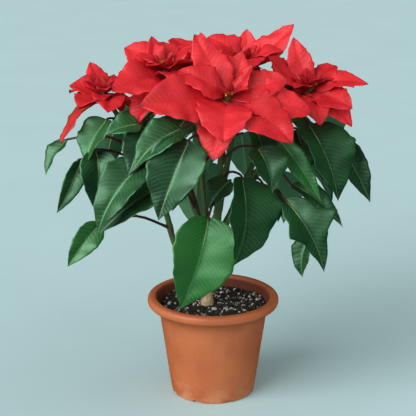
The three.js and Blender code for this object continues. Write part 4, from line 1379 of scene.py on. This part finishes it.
class MakeFlowers(Operator):
    """Sets the small true flowers in the middle of each rosette"""

    bl_idname = "poinsettia.flowers"
    bl_label = "Flower clusters"

    def execute(self, context):
        settings = context.scene.poinsettia_flowers
        skin = flower_skin()
        tree = cluster_tree()
        for number, branch in enumerate(BRANCHES, 1):
            _, hub, axis = hub_of(branch)
            cluster = grown(f"flowers_{number}", cyathium(settings.size), tree, {
                "Count": settings.count, "Ring": settings.ring, "Lean": FLOWER_LEAN, "Seed": number,
                "Material": skin})
            swing = Vector((0, 0, 1)).rotation_difference(Vector(axis)).to_matrix().to_4x4()
            cluster.data.transform(Matrix.Translation(Vector(hub + axis * GAP)) @ swing)
            dress(cluster, f"flower_cluster_{number}")
        return {"FINISHED"}


def cyathium(size):
    """One true flower: a green cup on a short foot, a yellow gland on its side, stamens on top."""
    body = bmesh.new()
    organ = body.verts.layers.float.new("organ")

    def lathe(profile, turns, kind, place=Matrix()):
        rings = [ring_of(body, radius, height, turns, place) for radius, height in profile]
        for vert in sum(rings, []):
            vert[organ] = kind
        body.faces.new(rings[0][::-1])
        body.faces.new(rings[-1])
        for low, high in zip(rings, rings[1:]):
            skirt(body, low, high)

    cup = [(0.0006, 0), (0.0008, 0.0028), (0.0013, 0.0036), (0.0017, 0.0052), (0.0017, 0.0068),
           (0.0013, 0.0079), (0.0009, 0.0082), (0.0006, 0.0078), (0.0003, 0.0077)]
    lathe(cup, 14, 0.0)
    gland = [(0.0002, -0.0008), (0.0009, -0.0006), (0.0012, 0), (0.0011, 0.0006), (0.0007, 0.0008),
             (0.0004, 0.0004), (0.0001, 0.0003)]
    lean = Matrix.Translation((0.0018, 0, 0.0066)) @ Matrix.Rotation(math.radians(62), 4, "Y")
    lathe(gland, 12, 0.3, lean @ Matrix.Diagonal((0.8, 1.25, 1, 1)))
    for k in range(6):
        turn = math.tau * k / 6 + 0.3
        tilt = Matrix.Rotation(turn, 4, "Z") @ Matrix.Rotation(math.radians(14 + 9 * (k % 3)), 4, "Y")
        base = Matrix.Translation((0.0004 * math.cos(turn), 0.0004 * math.sin(turn), 0.0074)) @ tilt
        tall = 0.0022 + 0.0004 * (k % 2)
        lathe([(0.00017, 0), (0.00014, tall)], 6, 0.6, base)
        anther = [(0.0001, -0.0001), (0.00036, 0.0001), (0.0004, 0.0003), (0.0003, 0.0006), (0.0001, 0.0007)]
        lathe(anther, 8, 0.9, base @ Matrix.Translation((0, 0, tall)))
    bmesh.ops.scale(body, vec=(size,) * 3, verts=body.verts)
    bmesh.ops.recalc_face_normals(body, faces=body.faces)
    return mesh_of(body, "cyathium")


class MakeStage(Operator):
    """Lays the floor and sets the lights and the camera"""

    bl_idname = "poinsettia.stage"
    bl_label = "Stage"

    def execute(self, context):
        settings = context.scene.poinsettia_stage
        half = settings.floor_size / 2
        corners = [(-half, -half, 0), (half, -half, 0), (half, half, 0), (-half, half, 0)]
        mesh = bpy.data.meshes.new("floor")
        mesh.from_pydata(corners, [], [(0, 1, 2, 3)])
        mesh.materials.append(studio_paper(settings))
        floor = new_object("floor", mesh)
        floor.visible_glossy = False
        world = bpy.data.worlds.new("studio")
        world.use_nodes = True
        sky = world.node_tree.nodes["Background"]
        sky.inputs["Color"].default_value = settings.sky_colour
        sky.inputs["Strength"].default_value = settings.sky_strength
        context.scene.world = world
        world.cycles_visibility.glossy = False
        sunlight("window", settings.key_strength, settings.key_spread, KEY_HEADING)
        for soft in (sunlight("soft fill", settings.fill_strength, settings.fill_spread, FILL_HEADING),
                     sunlight("bounce", settings.bounce_strength, settings.fill_spread, BOUNCE_HEADING)):
            soft.visible_glossy = False
        view = bpy.data.cameras.new("camera")
        view.lens = settings.lens
        camera = new_object("camera", view)
        camera.location = CAMERA_PLACE
        camera.rotation_euler = (math.radians(90 - CAMERA_DIP), 0, 0)
        context.scene.camera = camera
        context.scene.view_settings.view_transform = "Standard"
        return {"FINISHED"}


def sunlight(name, strength, spread, heading):
    """A broad distant light, its spread in degrees, shining along a heading."""
    lamp = bpy.data.lights.new(name, "SUN")
    lamp.energy = strength
    lamp.angle = math.radians(spread)
    light = new_object(name, lamp)
    light.rotation_euler = Vector(heading).to_track_quat("-Z", "Y").to_euler()
    return light


OPERATORS = (MakePot, MakeSoil, MakeStem, MakeFoliage, MakeBracts, MakeFlowers, MakeStage)


class PoinsettiaPanel(Panel):
    """Lists the settings and the steps that build the plant"""

    bl_idname = "VIEW3D_PT_poinsettia"
    bl_label = "Potted Poinsettia"
    bl_space_type = "VIEW_3D"
    bl_region_type = "UI"
    bl_category = "Poinsettia"

    def draw(self, context):
        for label, group in SETTINGS.items():
            box = self.layout.box()
            box.label(text=label.capitalize())
            for name in group.__annotations__:
                box.prop(getattr(context.scene, f"poinsettia_{label}"), name)
        for step in OPERATORS:
            self.layout.operator(step.bl_idname)


def register():
    for made in (*SETTINGS.values(), *OPERATORS, PoinsettiaPanel):
        bpy.utils.register_class(made)
    for label, group in SETTINGS.items():
        setattr(bpy.types.Scene, f"poinsettia_{label}", PointerProperty(type=group))


def unregister():
    for label in SETTINGS:
        delattr(bpy.types.Scene, f"poinsettia_{label}")
    for made in reversed((*SETTINGS.values(), *OPERATORS, PoinsettiaPanel)):
        bpy.utils.unregister_class(made)


def main():
    """Builds the whole scene."""
    register()
    bpy.ops.poinsettia.stage()
    bpy.ops.poinsettia.pot()
    bpy.ops.poinsettia.soil()
    bpy.ops.poinsettia.stem()
    bpy.ops.poinsettia.foliage()
    bpy.ops.poinsettia.bracts()
    bpy.ops.poinsettia.flowers()


if __name__ == "__main__":
    main()
